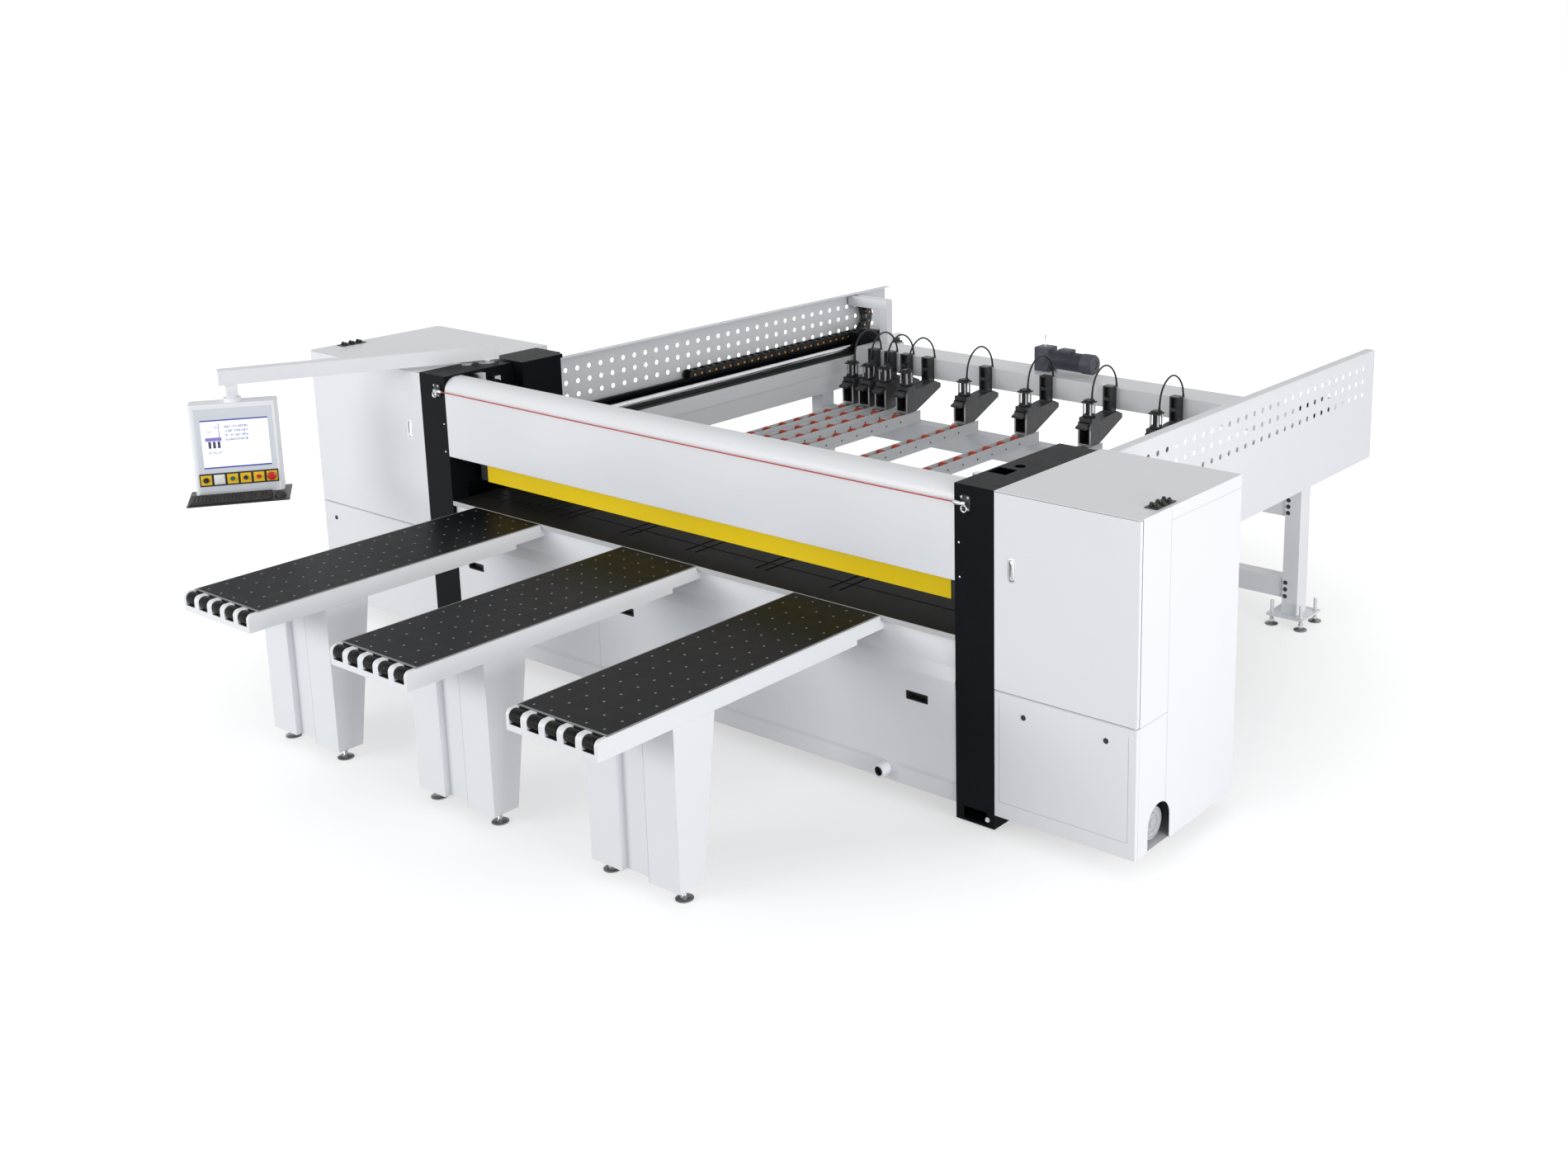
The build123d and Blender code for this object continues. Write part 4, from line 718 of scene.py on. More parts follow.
def makeCord(name, points, radius, finish, node):  # a smooth line led by the points, round in section
    curve = bpy.data.curves.new(name, "CURVE")
    curve.dimensions = "3D"
    spline = curve.splines.new("NURBS")
    spline.points.add(len(points) - 1)
    spline.points.foreach_set("co", np.column_stack([inFrame(points), np.ones(len(points))]).ravel())
    spline.order_u = 3
    spline.use_endpoint_u = True
    spline.resolution_u = 10
    curve.bevel_depth = radius / 1000
    curve.bevel_resolution = 3
    curve.use_fill_caps = True
    return addPiece(name, curve, finish, (node,))


def makeHoses(settings):  # the same route up and over from each clamp
    start = np.array(settings["start"], float)
    route = np.array([(0, y, z) for y, z in settings["route"]], float) + start
    for index, place in enumerate(clampPlaces):
        points = route + (place, 0, 0)
        hose = makeCord(f"clampHose{index + 1}", points, settings["radius"], hoseRubber, "clamp_hoses")


def makeRope(settings):  # straight across but for its sag
    across = np.array((-1, -0.5, 0.5, 1)) * settings["end"]
    drop = np.array((0, -1, -1, 0)) * settings["sag"]
    points = np.column_stack([across, np.full(4, settings["forward"]), settings["height"] + drop])
    rope = makeCord("pullRope", points, settings["radius"], redRope, "pull_rope")


makeHoses(hoseSettings)
makeRope(ropeSettings)
print("cords laid")


# Side panels: cells of a round hole in a rectangle, in a plain sheet folded over at the top

panelSettings = {"middle": 1940.5, "ends": (825, 4010), "bottom": 863, "top": 1540.5, "flange": 57, "fold": 4,
                 "firstHole": 901, "pitch": 92.4, "columns": 33, "rows": (1288, 1370, 1450),
                 "borders": (1247, 1329, 1410, 1490), "hole": 15.5, "steps": 8, "sheet": 3}


def holeCells(settings):  # from a rectangle's border inwards to the circle on the same rays
    steps, columns = settings["steps"], settings["columns"]
    along = np.arange(steps) / steps
    zeros, ones = np.zeros(steps), np.ones(steps)
    border = np.stack([np.concatenate([along, ones, 1 - along, zeros]),
                       np.concatenate([zeros, along, ones, 1 - along])], -1)
    low = np.array(settings["borders"][:-1], float)
    size = np.diff(settings["borders"])
    y = settings["firstHole"] + np.arange(columns) * settings["pitch"]
    corner = lattice(y - settings["pitch"] / 2, low)[:, None]
    extent = lattice(np.full(columns, settings["pitch"]), size)[:, None]
    centre = lattice(y, settings["rows"])[:, None]
    outer = corner + border * extent
    inner = centre + settings["hole"] * (outer - centre) / np.linalg.norm(outer - centre, axis=2)[:, :, None]
    cells = np.stack([outer, inner], 1)
    points = np.concatenate([np.full((*cells.shape[:3], 1), settings["middle"]), cells], -1).reshape(-1, 3)
    starts = np.arange(len(cells)) * 8 * steps
    return points, (gridFaces(2, 4 * steps, closedColumns=True) + starts[:, None, None]).reshape(-1, 4)


def plainSheet(settings):  # the profile carried along the panel, less the faces where the cells lie
    steps, columns, fold = settings["steps"], settings["columns"], settings["fold"]
    first = settings["firstHole"] - settings["pitch"] / 2
    cuts = first + np.arange(columns * steps + 1) * settings["pitch"] / steps
    y = np.concatenate([settings["ends"][:1], cuts, settings["ends"][1:]])
    holes = np.concatenate([np.linspace(low, high, steps + 1)[:-1]
                            for low, high in zip(settings["borders"], settings["borders"][1:])])
    turn = np.linspace(0, np.pi / 2, 4)
    x = np.concatenate([np.zeros(len(holes) + 2), -fold * (1 - np.cos(turn)), [-settings["flange"]]])
    z = np.concatenate([[settings["bottom"]], holes, settings["borders"][-1:],
                        settings["top"] - fold * (1 - np.sin(turn)), [settings["top"]]])
    grid = np.broadcast_arrays(settings["middle"] + x[:, None], y, z[:, None])
    points, faces = surface(np.stack(grid, -1))
    row, column = np.divmod(np.arange(len(faces)), len(y) - 1)
    covered = (row >= 1) & (row <= len(holes)) & (column >= 1) & (column <= columns * steps)
    return points, faces[~covered]


panelShape = mirrored(joined(holeCells(panelSettings), plainSheet(panelSettings)))
panels = makePiece("sidePanels", panelShape, panelPaint, ("side_panels",))
solidify(panels, panelSettings["sheet"])
print("side panels made")


# Bridge cover: a folded sheet with a large radius along its top front

bridgeSettings = {"half": 1775, "bottom": 1158, "top": 1606, "depth": 120, "radius": 75, "fold": 4, "lip": 40,
                  "rearDrop": 64, "sheet": 3}


def arc(centre, radius, start, end, steps):  # points of a circle between two angles
    turn = np.radians(np.linspace(start, end, steps))
    return np.stack([centre[0] + radius * np.cos(turn), centre[1] + radius * np.sin(turn)], -1)


def bridgeProfile(settings):  # from the lip under the front, up over the round, to the drop behind
    half, fold, radius = settings["sheet"] / 2, settings["fold"], settings["radius"]
    low, high, rear = settings["bottom"] + half, settings["top"] - half, settings["depth"] - half
    return np.concatenate([[(settings["lip"], low)], arc((half + fold, low + fold), fold, 270, 180, 4),
                           arc((half + radius, high - radius), radius, 180, 90, 13),
                           arc((rear - fold, high - fold), fold, 90, 0, 4),
                           [(rear, settings["top"] - settings["rearDrop"])]])


def sheetAlongX(profile, half, thickness):  # a line of (Y, Z) with a thickness, carried along X
    along = np.gradient(profile, axis=0)
    normal = np.stack([along[:, 1], -along[:, 0]], -1) / np.linalg.norm(along, axis=1)[:, None]
    rows = [np.column_stack([np.full(len(profile), x), profile + side * thickness / 2 * normal])
            for x, side in ((-half, 1), (half, 1), (half, -1), (-half, -1))]
    points, faces = surface(rows, closedRows=True)
    edges = np.arange(4) * len(profile)
    return points, np.concatenate([faces, [edges, edges + len(profile) - 1]])


bridgeShape = sheetAlongX(bridgeProfile(bridgeSettings), bridgeSettings["half"], bridgeSettings["sheet"])
makePiece("bridgeCover", bridgeShape, whitePaint, ("bridge_cover",))
print("bridge cover made")


# Rollers

trackSettings = {"radius": 24, "width": 48, "axis": 873, "first": 920, "pitch": 150, "count": 15, "edge": 2.5,
                 "sides": 16, "steps": 2}
noseSettings = {"radius": 30, "width": 66, "pitch": 109, "count": 5, "axis": (-1686, 868), "edge": 4,
                "sides": 32, "steps": 4}
noseShadeSheetSettings = {"half": 34.8, "y": (-1712.5, -1654.5), "z": (836.1, 896), "sheet": 0.8}


def rollerShape(settings):  # a round bar along X with rounded rims
    radius, half, edge = settings["radius"], settings["width"] / 2, settings["edge"]
    turn = np.linspace(0, np.pi / 2, settings["steps"])
    rim = np.stack([radius - edge * (1 - np.cos(turn)), half - edge * (1 - np.sin(turn))], -1)
    profile = np.concatenate([[(0, -half)], rim[::-1] * (1, -1), rim, [(0, half)]])
    return aimed(lathe(profile, settings["sides"]), (1, 0, 0))


def trackSteps(settings):  # where the rollers of a track stand along Y
    return settings["first"] + np.arange(settings["count"]) * settings["pitch"]


def makeTrackRollers(settings):  # a row along each track
    spots = lattice(clampPlaces, trackSteps(settings), settings["axis"])
    makePiece("trackRollers", repeated(rollerShape(settings), spots), redRoller, ("track_rollers",))


def makeNoseRollers(settings):  # a row across each nose
    for number, place in enumerate(tablePlaces, 1):
        spots = lattice(place + spread(settings["count"], settings["pitch"]), *settings["axis"])
        makePiece(f"noseRollers{number}", repeated(rollerShape(settings), spots), rollerRubber,
                  (f"nose_rollers_{number}",))


def makeNoseShadeSheets(settings):  # a thin black floor and back in each pocket: painted shade, dark sheets where the pocket shows only shade
    x, (front, rear), (low, high) = (-settings["half"], settings["half"]), settings["y"], settings["z"]
    sheet = settings["sheet"]
    shadeLining = joined(roundedBox(x, (front, rear), (low, low + sheet), sheet / 3),
                    roundedBox(x, (rear - sheet, rear), (low, high), sheet / 3))
    pockets = lattice(tablePlaces, spread(noseSettings["count"], noseSettings["pitch"])).sum(1)
    addDetail("noseShadeSheets", repeated(shadeLining, lattice(pockets, 0, 0)), blackPlastic)


makeTrackRollers(trackSettings)
makeNoseRollers(noseSettings)
makeNoseShadeSheets(noseShadeSheetSettings)
print("rollers made")


# Air nozzles in the table tops, and screws along the roller tracks

nozzleSettings = {"across": 105, "along": 92.5, "columns": 5, "rows": 18, "front": -1618, "top": 900,
                  "cup": ((0, -1), (5.5, -1), (5.5, 0.5), (2.475, 0.9), (0, 0.2)), "sides": 12}
trackScrewSettings = {"side": 33, "height": 852, "head": ((0, 0), (6.5, 0), (5.2, 2), (0, 2)), "sides": 8}


def makeNozzles(settings):  # small turned cups in rows on each top
    x = lattice(tablePlaces, spread(settings["columns"], settings["across"])).sum(1)
    y = settings["front"] + np.arange(settings["rows"]) * settings["along"]
    cup = lathe(settings["cup"], settings["sides"])
    addDetail("airNozzles", repeated(cup, lattice(x, y, settings["top"])), nozzleMetal)


def makeTrackScrews(settings):  # a turned head on both sides of the track at each roller
    head, rows = lathe(settings["head"], settings["sides"]), []
    for side in (-1, 1):
        x = np.array(clampPlaces) + side * settings["side"]
        spots = lattice(x, trackSteps(trackSettings), settings["height"])
        rows.append(repeated(aimed(head, (side, 0, 0)), spots))
    addDetail("trackScrews", joined(*rows), blackPlastic)


makeNozzles(nozzleSettings)
makeTrackScrews(trackScrewSettings)
print("nozzles and track screws made")


# Drag chain: links of two rounded side plates and two bars, laid along the run and the half turn

chainSettings = {"middle": -1890, "axis": 1254, "start": 1950, "turn": 3620, "bend": 115, "pitch": 66,
                 "count": 31, "halfHeight": 28, "halfWidth": 34, "plate": 5, "play": 0.5, "overlap": 12,
                 "dot": (8, 1.5, 1, 12, 2), "sunk": 0.2, "bar": (10, 4, 3)}


def chainLine(distance, settings):  # along the run, round the half circle, then back: Y, Z and the turn there
    run, bend = settings["turn"] - settings["start"], settings["bend"]
    turn = np.clip(distance - run, 0, np.pi * bend) / bend
    back = np.maximum(distance - run - np.pi * bend, 0)
    return (settings["start"] + np.minimum(distance, run) + bend * np.sin(turn) - back,
            settings["axis"] + bend * (1 - np.cos(turn)), turn)


def alongChain(shape, links, settings):  # the shape, drawn as (X, along, up), at each link
    y, z, turn = chainLine((links + 0.5) * settings["pitch"], settings)
    points, faces = shape
    across, along, up = points.T[:, None]
    cos, sin = np.cos(turn)[:, None], np.sin(turn)[:, None]
    placed = np.stack(np.broadcast_arrays(settings["middle"] + across, y[:, None] + along * cos - up * sin,
                                          z[:, None] + along * sin + up * cos), -1)
    starts = np.arange(len(links)) * len(points)
    return placed.reshape(-1, 3), (faces + starts[:, None, None]).reshape(-1, 4)


def chainPlate(outer, settings):  # a rounded plate standing across X, its outer face given
    reach = settings["pitch"] / 2 + settings["overlap"]
    outline = roundedRectangle(2 * reach, 2 * settings["halfHeight"], settings["halfHeight"] * 0.8, 4)
    points, faces = slab(outline, roundedLevels(0, settings["plate"], 1, 2))
    return np.column_stack([outer - np.sign(outer) * points[:, 2], points[:, 0], points[:, 1]]), faces


def makeChain(settings):  # outer and inner links by turns, with two bars in each
    shapes, dots, plate = [], [], settings["plate"]
    for start, inset in ((0, 0), (1, plate + settings["play"])):
        links = np.arange(start, settings["count"], 2)
        face = settings["halfWidth"] - inset
        for side in (-1, 1):
            shapes.append(alongChain(chainPlate(side * face, settings), links, settings))
        dot = aimed(domed(*settings["dot"]), (1, 0, 0), (face - settings["sunk"], 0, 0))
        dots.append(alongChain(dot, links, settings))
    width = settings["halfWidth"] - plate
    reach, inset, half = settings["bar"]
    for up in (-1, 1):
        level = up * (settings["halfHeight"] - inset)
        bar = roundedBox((-width, width), (-reach, reach), (level - half, level + half), 1.2, 2, 2)
        shapes.append(alongChain(bar, np.arange(settings["count"]), settings))
    makePiece("dragChain", joined(*shapes), blackPlastic, ("drag_chain",))
    addDetail("chainMarks", joined(*dots), orangePlastic)


upperRunSettings = {"links": 40, "size": (64, 52), "corner": 8, "y": (3620, 3590), "z": 1484, "waist": 0.84,
                    "steps": (0.05, 0.15, 0.85, 0.95)}


def makeUpperRun(settings):  # folded up at rest, its sections placed along it by the inverse of a smooth step
    links, (start, end) = settings["links"], settings["y"]
    share = ((np.arange(links)[:, None] + settings["steps"]) / links).ravel()
    along = start + (end - start) * (0.5 - np.sin(np.arcsin(1 - 2 * share) / 3))  # the inverse of a smooth step
    scale = np.tile((settings["waist"], 1, 1, settings["waist"]), links)[:, None]
    outline = roundedRectangle(*settings["size"], settings["corner"], 2)
    rings = np.broadcast_arrays(chainSettings["middle"] + scale * outline[:, 0], along[:, None],
                                settings["z"] + scale * outline[:, 1])
    run = makePiece("chainUpperRun", loft(np.stack(rings, -1)), blackPlastic, body="machine",
                    riding=False)
    ends = (inFrame((chainSettings["middle"], y, settings["z"])) for y in (start, end))
    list(ends)
    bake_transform(run)


bracketSettings = {"x": (-1924, -1568), "y": (3578, 3585.5), "z": (1462, 1534), "edge": 1.5, "corner": 2}


def makeBracketFace(settings):  # the deep front of the bracket that holds the chain's end
    face = roundedBox(settings["x"], settings["y"], settings["z"], settings["edge"], settings["corner"])
    addDetail("chainBracketFace", face, whitePaint, "pusher")


makeChain(chainSettings)
makeUpperRun(upperRunSettings)
makeBracketFace(bracketSettings)
print("drag chain made")


# Clamps: air cylinders with square caps, a barrel and tie rods, and a fitting at each end of a hose

cylinderSettings = {"y": 3125, "bottom": 1078, "top": 1190, "size": 62, "plate": 76, "plateHeight": 9,
                    "cap": 20, "inset": 4, "sunk": 1, "edge": (2, 5), "barrel": 22, "tie": 25,
                    "tieRadius": 6.5,
                    "fitting": ((0, -2), (9, -2), (9, 5), (7.5, 7), (7.5, 16), (6.6, 18), (6.6, 22), (0, 22))}


def makeCylinders(settings):  # square caps round Z with a barrel and four tie rods turned between them
    half, low, high, y = settings["size"] / 2, settings["bottom"], settings["top"], settings["y"]
    tie, cap, sunk = settings["tie"], settings["cap"], settings["sunk"]
    between = (low + cap - sunk, high - cap + sunk)
    plateTop = high - cap + settings["plateHeight"]

    def square(reach, z):  # a block about the axis
        return roundedBox((-reach, reach), (y - reach, y + reach), z, *settings["edge"])

    caps = joined(square(half, (low, low + cap)), square(settings["plate"] / 2, (high - cap, plateTop)),
                  square(half - settings["inset"], (plateTop - sunk, high)),
                  moved(roundBar(settings["barrel"], *between, 28), (0, y, 0)))
    spots = lattice(clampPlaces, 0, 0)
    corners = lattice((-tie, tie), (y - tie, y + tie), 0)
    rods = repeated(roundBar(settings["tieRadius"], *between, 12), corners)
    makePiece("clampCylinderCaps", repeated(caps, spots), blackPlastic, ("clamp_cylinders",))
    addDetail("clampCylinderRods", repeated(rods, spots), chrome, "pusher")
    x, *start = hoseSettings["start"]
    end = np.add(start, hoseSettings["route"][-1])
    ends = repeated(lathe(settings["fitting"], 16), [(x, *start), (x, *end)])
    addDetail("hoseFittings", repeated(ends, spots), blackPlastic, "pusher")


makeCylinders(cylinderSettings)
print("clamp cylinders made")


# Pusher drive: gearbox, ribbed motor with fan cowl, terminal box and breather

motorSettings = {"y": 3560, "axis": 1300, "box": (-248, -132), "depth": (3500, 3620), "height": (1220, 1380),
                 "cowl": 115, "radius": 62, "ribs": 40, "ribDepth": 7,
                 "terminal": ((-72, 28), (3525, 3595), (1352, 1380)),
                 "flange": ((0, 0), (58, 0), (60, 2), (60, 12), (52, 16), (0, 16)),
                 "cover": ((0, 0), (44, 0), (44, 6), (40, 9), (0, 9)),
                 "cap": ((0, 0), (67, 0), (67, 73), (60, 83), (30, 83), (28, 79), (0, 79)), "breather": -194,
                 "rod": ((0, 0), (11, 0), (11, 10), (7, 12), (6, 14), (6, 74), (4, 76), (0, 76))}


def ribbedBar(start, end, radius, ribs, depth):  # a bar along X whose radius steps in and out round it
    angle = np.arange(ribs * 4) * 2 * np.pi / (ribs * 4)
    reach = radius - depth * (np.arange(ribs * 4) % 4 > 1)
    ring = np.stack([reach * np.cos(angle), reach * np.sin(angle)], -1)
    return loft([np.column_stack([np.full(len(ring), x), ring]) for x in (start, end)])


def makeMotor(settings):  # a gearbox with a flange and a cover, then a ribbed bar and a cap turned round X
    y, axis, cowl, (left, right) = settings["y"], settings["axis"], settings["cowl"], settings["box"]
    box = roundedBox(settings["box"], settings["depth"], settings["height"], 9, 14, 4)
    flange = aimed(lathe(settings["flange"], 32), (1, 0, 0), (right - 2, y, axis))
    coverPlace = ((left + right) / 2, settings["depth"][0] + 1, axis + 6)
    cover = aimed(lathe(settings["cover"], 28), (0, -1, 0), coverPlace)
    body = ribbedBar(right + 12, cowl, settings["radius"], settings["ribs"], settings["ribDepth"])
    cap = aimed(lathe(settings["cap"], 36), (1, 0, 0), (cowl, y, axis))
    terminal = roundedBox(*settings["terminal"], 5, 8)
    makePiece("pusherMotor", joined(box, flange, cover, moved(body, (0, y, axis)), cap, terminal), motorPaint,
              ("pusher_motor",))
    rod = moved(lathe(settings["rod"], 16), (settings["breather"], y, settings["height"][1] - 1))
    addDetail("motorBreather", rod, zinc, "pusher")


makeMotor(motorSettings)
print("pusher motor made")


# Guide shafts on their webs, and the feet

shaftSettings = {"middle": 1780, "height": 1200, "radius": 20, "ends": (830, 3975), "chamfer": 2, "web": 7,
                 "foot": 30, "footTop": 1162, "bottom": 1150}
footSettings = {"spread": 221, "tableY": -1248.5, "tableTop": 62, "tableNut": (46, 58), "post": (1858, 3211),
                "reach": 95, "postTop": 60, "postNut": (22, 34), "studTop": 150, "studNut": (72, 84),
                "stem": 11, "stemLow": 15, "nut": 30, "columnPads": (1883.5, (70, 755)),
                "cabinets": (((-2827, -2192), (200, 711)), ((2192, 2537), (200, 658))),
                "disc": ((0, 0), (38, 0), (40, 2), (40, 6), (34, 10), (18, 13), (14, 18), (0, 18)),
                "pad": ((0, 0), (53, 0), (55, 2), (55, 8), (53, 10), (0, 10)),
                "block": ((0, 0), (23, 0), (25, 2), (25, 20), (18, 22), (18, 80), (0, 80))}


def makeShafts(settings):  # a chamfered bar along Y on a web and a foot
    start, end = settings["ends"]
    radius, middle, chamfer, length = settings["radius"], settings["middle"], settings["chamfer"], end - start
    profile = ((0, 0), (radius - chamfer, 0), (radius, chamfer), (radius, length - chamfer),
               (radius - chamfer, length), (0, length))
    bar = aimed(lathe(profile, 28), (0, 1, 0), (middle, start, settings["height"]))
    web = roundedBox((middle - settings["web"], middle + settings["web"]), (start, end),
                     (settings["footTop"] - 1, settings["height"] - radius / 2), 1)
    foot = roundedBox((middle - settings["foot"], middle + settings["foot"]), (start, end),
                      (settings["bottom"], settings["footTop"]), 1.5)
    makePiece("guideShafts", mirrored(bar), brightSteel, ("guide_rails",))
    addDetail("shaftSupports", mirrored(joined(web, foot)), darkSteel)


def threadedStem(radius, low, high, pitch=3.0, depth=0.9):  # rings in and out up the stem
    height = np.arange(low, high, pitch / 2)
    reach = radius - depth * (np.arange(len(height)) % 2)
    profile = np.concatenate([[(0, low)], np.stack([reach, height], -1), [(radius - 1, high), (0, high)]])
    return lathe(profile, 12)


def hexNut(across, low, high, edge=0.8):  # a six-sided slab with its edges drawn in
    levels = [(edge, 0), (0, edge), (0, high - low - edge), (edge, high - low)]
    return moved(slab(circle(across / math.sqrt(3), 6), levels), (0, 0, low))


def makeFeet(settings):  # turned discs, threaded stems and nuts; plain pads and blocks elsewhere
    disc, stem, low = lathe(settings["disc"], 32), settings["stem"], settings["stemLow"]
    nuts = {name: hexNut(settings["nut"], *settings[name]) for name in ("tableNut", "postNut", "studNut")}
    tableFoot = joined(disc, threadedStem(stem, low, settings["tableTop"]), nuts["tableNut"])
    foot = joined(disc, threadedStem(stem, low, settings["postTop"]), nuts["postNut"])
    stud = joined(nuts["studNut"], threadedStem(stem, settings["studNut"][0], settings["studTop"]))
    tables = [(place + side * settings["spread"], settings["tableY"], 0)
              for place in tablePlaces for side in (-1, 1)]
    (postX, postY), reach = settings["post"], settings["reach"]
    corners = [(side * postX + x, postY + y, 0)
               for side in (-1, 1) for x in (-reach, reach) for y in (-reach, reach)]
    padX, padY = settings["columnPads"]
    pads = repeated(lathe(settings["pad"], 32), lattice((-padX, padX), padY, 0))
    blocks = [(x, y, 0) for across, deep in settings["cabinets"] for x in across for y in deep]
    feet = joined(repeated(tableFoot, tables), repeated(foot, corners), repeated(stud, corners))
    makePiece("levellingFeet", feet, footMetal, ("levelling_feet",))
    stands = joined(pads, repeated(lathe(settings["block"], 24), blocks))
    addDetail("standingPads", stands, blackPlastic)


makeShafts(shaftSettings)
makeFeet(footSettings)
print("guide shafts and feet made")


# Rope ends, cable glands, locks, screws, hand slots, outlet, arm neck and blower guard

ropeEndSettings = {"middle": 1839, "plate": (54, 72), "bolts": (18, 27), "nut": (11, 0, 5), "arm": 9,
                   "armDepth": (-24, -4), "hook": (1842, -20, 1510), "ring": (15, 3.5, 20, 8),
                   "barrel": ((0, -2), (6, -2), (8, 4), (10, 10), (10, 34), (8, 40), (8, 60), (6, 66),
                              (0, 66))}
glandSettings = {"places": (-2972, 2682), "y": 245, "top": 1614, "pitch": (27, 50), "plate": (66, 164),
                 "nut": (22, 3, 10),
                 "head": ((0, 10), (9.5, 10), (9.5, 15), (8, 18), (5.5, 20), (5, 21), (0, 21))}
lockSettings = {"places": ((-2913, 597), (2151, 598), (2583, 603)), "slot": ((-1.6, 1.6), (-7, 7), (1, 3.2)),
                "barrel": ((0, 0), (13, 0), (13, 1.5), (11, 3.5), (9, 3.5), (8.5, 2.5), (0, 2.5))}
screwSettings = {"places": ((1800, 1343), (1804, 1183)), "head": (5, 3, 2, 14, 3), "bolt": (1955, 50),
                 "across": 15, "height": 10, "washer": 12}
postBoltSettings = {"x": 1828, "face": 3151, "heights": (772, 733, 694, 262, 220, 177), "across": 17,
                    "height": 9, "washer": 13}
slotShadeSettings = {"places": (-1614, -771, -402, 1548), "height": 545, "size": (122, 37), "face": 4, "corner": 5,
                "steps": ((-5, 34), (-5, 0.2), (6, 0.2), (6, -1.3), (-2, -1.3), (-8, 32))}
outletSettings = {"place": (1350, -49, 140),
                  "sleeve": ((24, 0), (32, 0), (34, 2), (34, 52), (24, 52), (24, 0)),
                  "shadeLining": ((24.5, 4), (21, 4), (20, 6), (20, 26), (8, 30), (0, 30), (0, 34), (24.5, 34),
                             (24.5, 4))}
neckSettings = {"half": 31, "z": (1566, 1633), "turn": -26.26}
guardSettings = {"place": (2699, 196, 176),
                 "profile": ((0, 0), (75, 0), (75, 6), (72, 8), (66, 8), (64, 3), (50, 3), (48, 9), (44, 10),
                             (40, 9), (38, 3), (24, 3), (22, 8), (14, 12), (0, 13))}


def makeRopeEnds(settings):  # a plate, an arm, a turned barrel on the rope and a ring, at both ends
    middle, height, half = settings["middle"], ropeSettings["height"], settings["arm"]
    plate = slab(roundedRectangle(*settings["plate"], 8), roundedLevels(0, 5, 1, 2))
    arm = roundedBox((middle - half, middle + half), settings["armDepth"],
                     (height - half, height + half), 2, 4)
    barrelPlace = (ropeSettings["end"], ropeSettings["forward"], height)
    barrel = aimed(lathe(settings["barrel"], 24), (1, 0, 0), barrelPlace)
    radius, wire, turns, sides = settings["ring"]
    ring, section = circle(1, turns)[:, None], circle(wire, sides)
    reach = radius + section[:, 0]
    rows = np.broadcast_arrays(reach * ring[..., 0], section[:, 1], reach * ring[..., 1])
    hook = moved(surface(np.stack(rows, -1), True, True), settings["hook"])
    across, up = settings["bolts"]
    spots = lattice((middle - across, middle + across), -5, (height - up, height + up))
    bolts = repeated(aimed(hexNut(*settings["nut"]), (0, -1, 0)), spots)
    makePiece("ropeEnds", mirrored(joined(arm, barrel, hook, bolts)), steel, ("rope_fittings",))
    plates = mirrored(aimed(plate, (0, -1, 0), (middle, 0, height)))
    addDetail("ropePlates", plates, darkSteel)


def makeGlands(settings):  # six nuts with turned heads on a plate, on each cabinet
    (wide, deep), (pitchX, pitchY) = settings["plate"], settings["pitch"]
    plate = roundedBox((-wide / 2, wide / 2), (-deep / 2, deep / 2), (0, 3), 0.8, 6)
    gland = joined(hexNut(*settings["nut"]), lathe(settings["head"], 16))
    whole = joined(plate, repeated(gland, lattice(spread(2, pitchX), spread(3, pitchY), 0)))
    spots = lattice(settings["places"], settings["y"], settings["top"])
    makePiece("cableGlands", repeated(whole, spots), blackPlastic, ("cable_glands",))


def makeLocks(settings):  # a turned barrel with a bar across it
    lock = joined(lathe(settings["barrel"], 24), roundedBox(*settings["slot"], 0.4, 0.8, 2))
    spots = [(x, 0, z) for x, z in settings["places"]]
    addDetail("panelLocks", repeated(aimed(lock, (0, -1, 0)), spots), blackPlastic)


def washerBolt(settings):  # a nut on a turned washer, facing the front
    washer = roundBar(settings["washer"], 0, 2.5, 20)
    return aimed(joined(hexNut(settings["across"], 0, settings["height"]), washer), (0, -1, 0))


def makeColumnScrews(settings):  # domed heads, and a bolt at the foot of each column
    head = aimed(domed(*settings["head"]), (0, -1, 0))
    heads = repeated(head, [(side * x, 0, z) for x, z in settings["places"] for side in (-1, 1)])
    x, z = settings["bolt"]
    bolts = repeated(washerBolt(settings), [(-x, 0, z), (x, 0, z)])
    addDetail("columnScrews", joined(heads, bolts), zinc)


def makePostBolts(settings):  # three where each cross beam meets a post
    spots = lattice((-settings["x"], settings["x"]), settings["face"], settings["heights"])
    addDetail("postBolts", repeated(washerBolt(settings), spots), darkSteel)


def makeHandSlotShadeCups(settings):  # a black cup with a thin rim on the cover, through steps of (wider by, depth): painted shade, standing in for the dark space behind each cut-out slot
    width, height = settings["size"]
    points, faces = loft([atHeight(roundedRectangle(width + extra, height + extra, settings["corner"]), depth)
                          for extra, depth in settings["steps"]])
    cup = np.column_stack([points[:, 0], points[:, 2] + settings["face"], points[:, 1]]), faces
    spots = lattice(settings["places"], 0, settings["height"])
    addDetail("handSlotShadeCups", repeated(cup, spots), blackPlastic)


def makeOutlet(settings):  # a sleeve turned round the outlet, with a dark lining closing its bore: painted shade for the shade inside it
    sleeve, shadeLining = (aimed(lathe(settings[name], sides), (0, 1, 0), settings["place"])
                      for name, sides in (("sleeve", 32), ("shadeLining", 28)))
    addDetail("outletSleeve", sleeve, whitePaint)
    addDetail("outletShadeLining", shadeLining, blackPlastic)


def makeNeck(settings):  # a square sleeve round the drop tube, turned with the arm
    half = settings["half"]
    sleeve = roundedBox((-half, half), (-half, half), settings["z"], 3, 6)
    addDetail("armNeck", onDrop(sleeve, settings["turn"]), whitePaint, "control_arm")


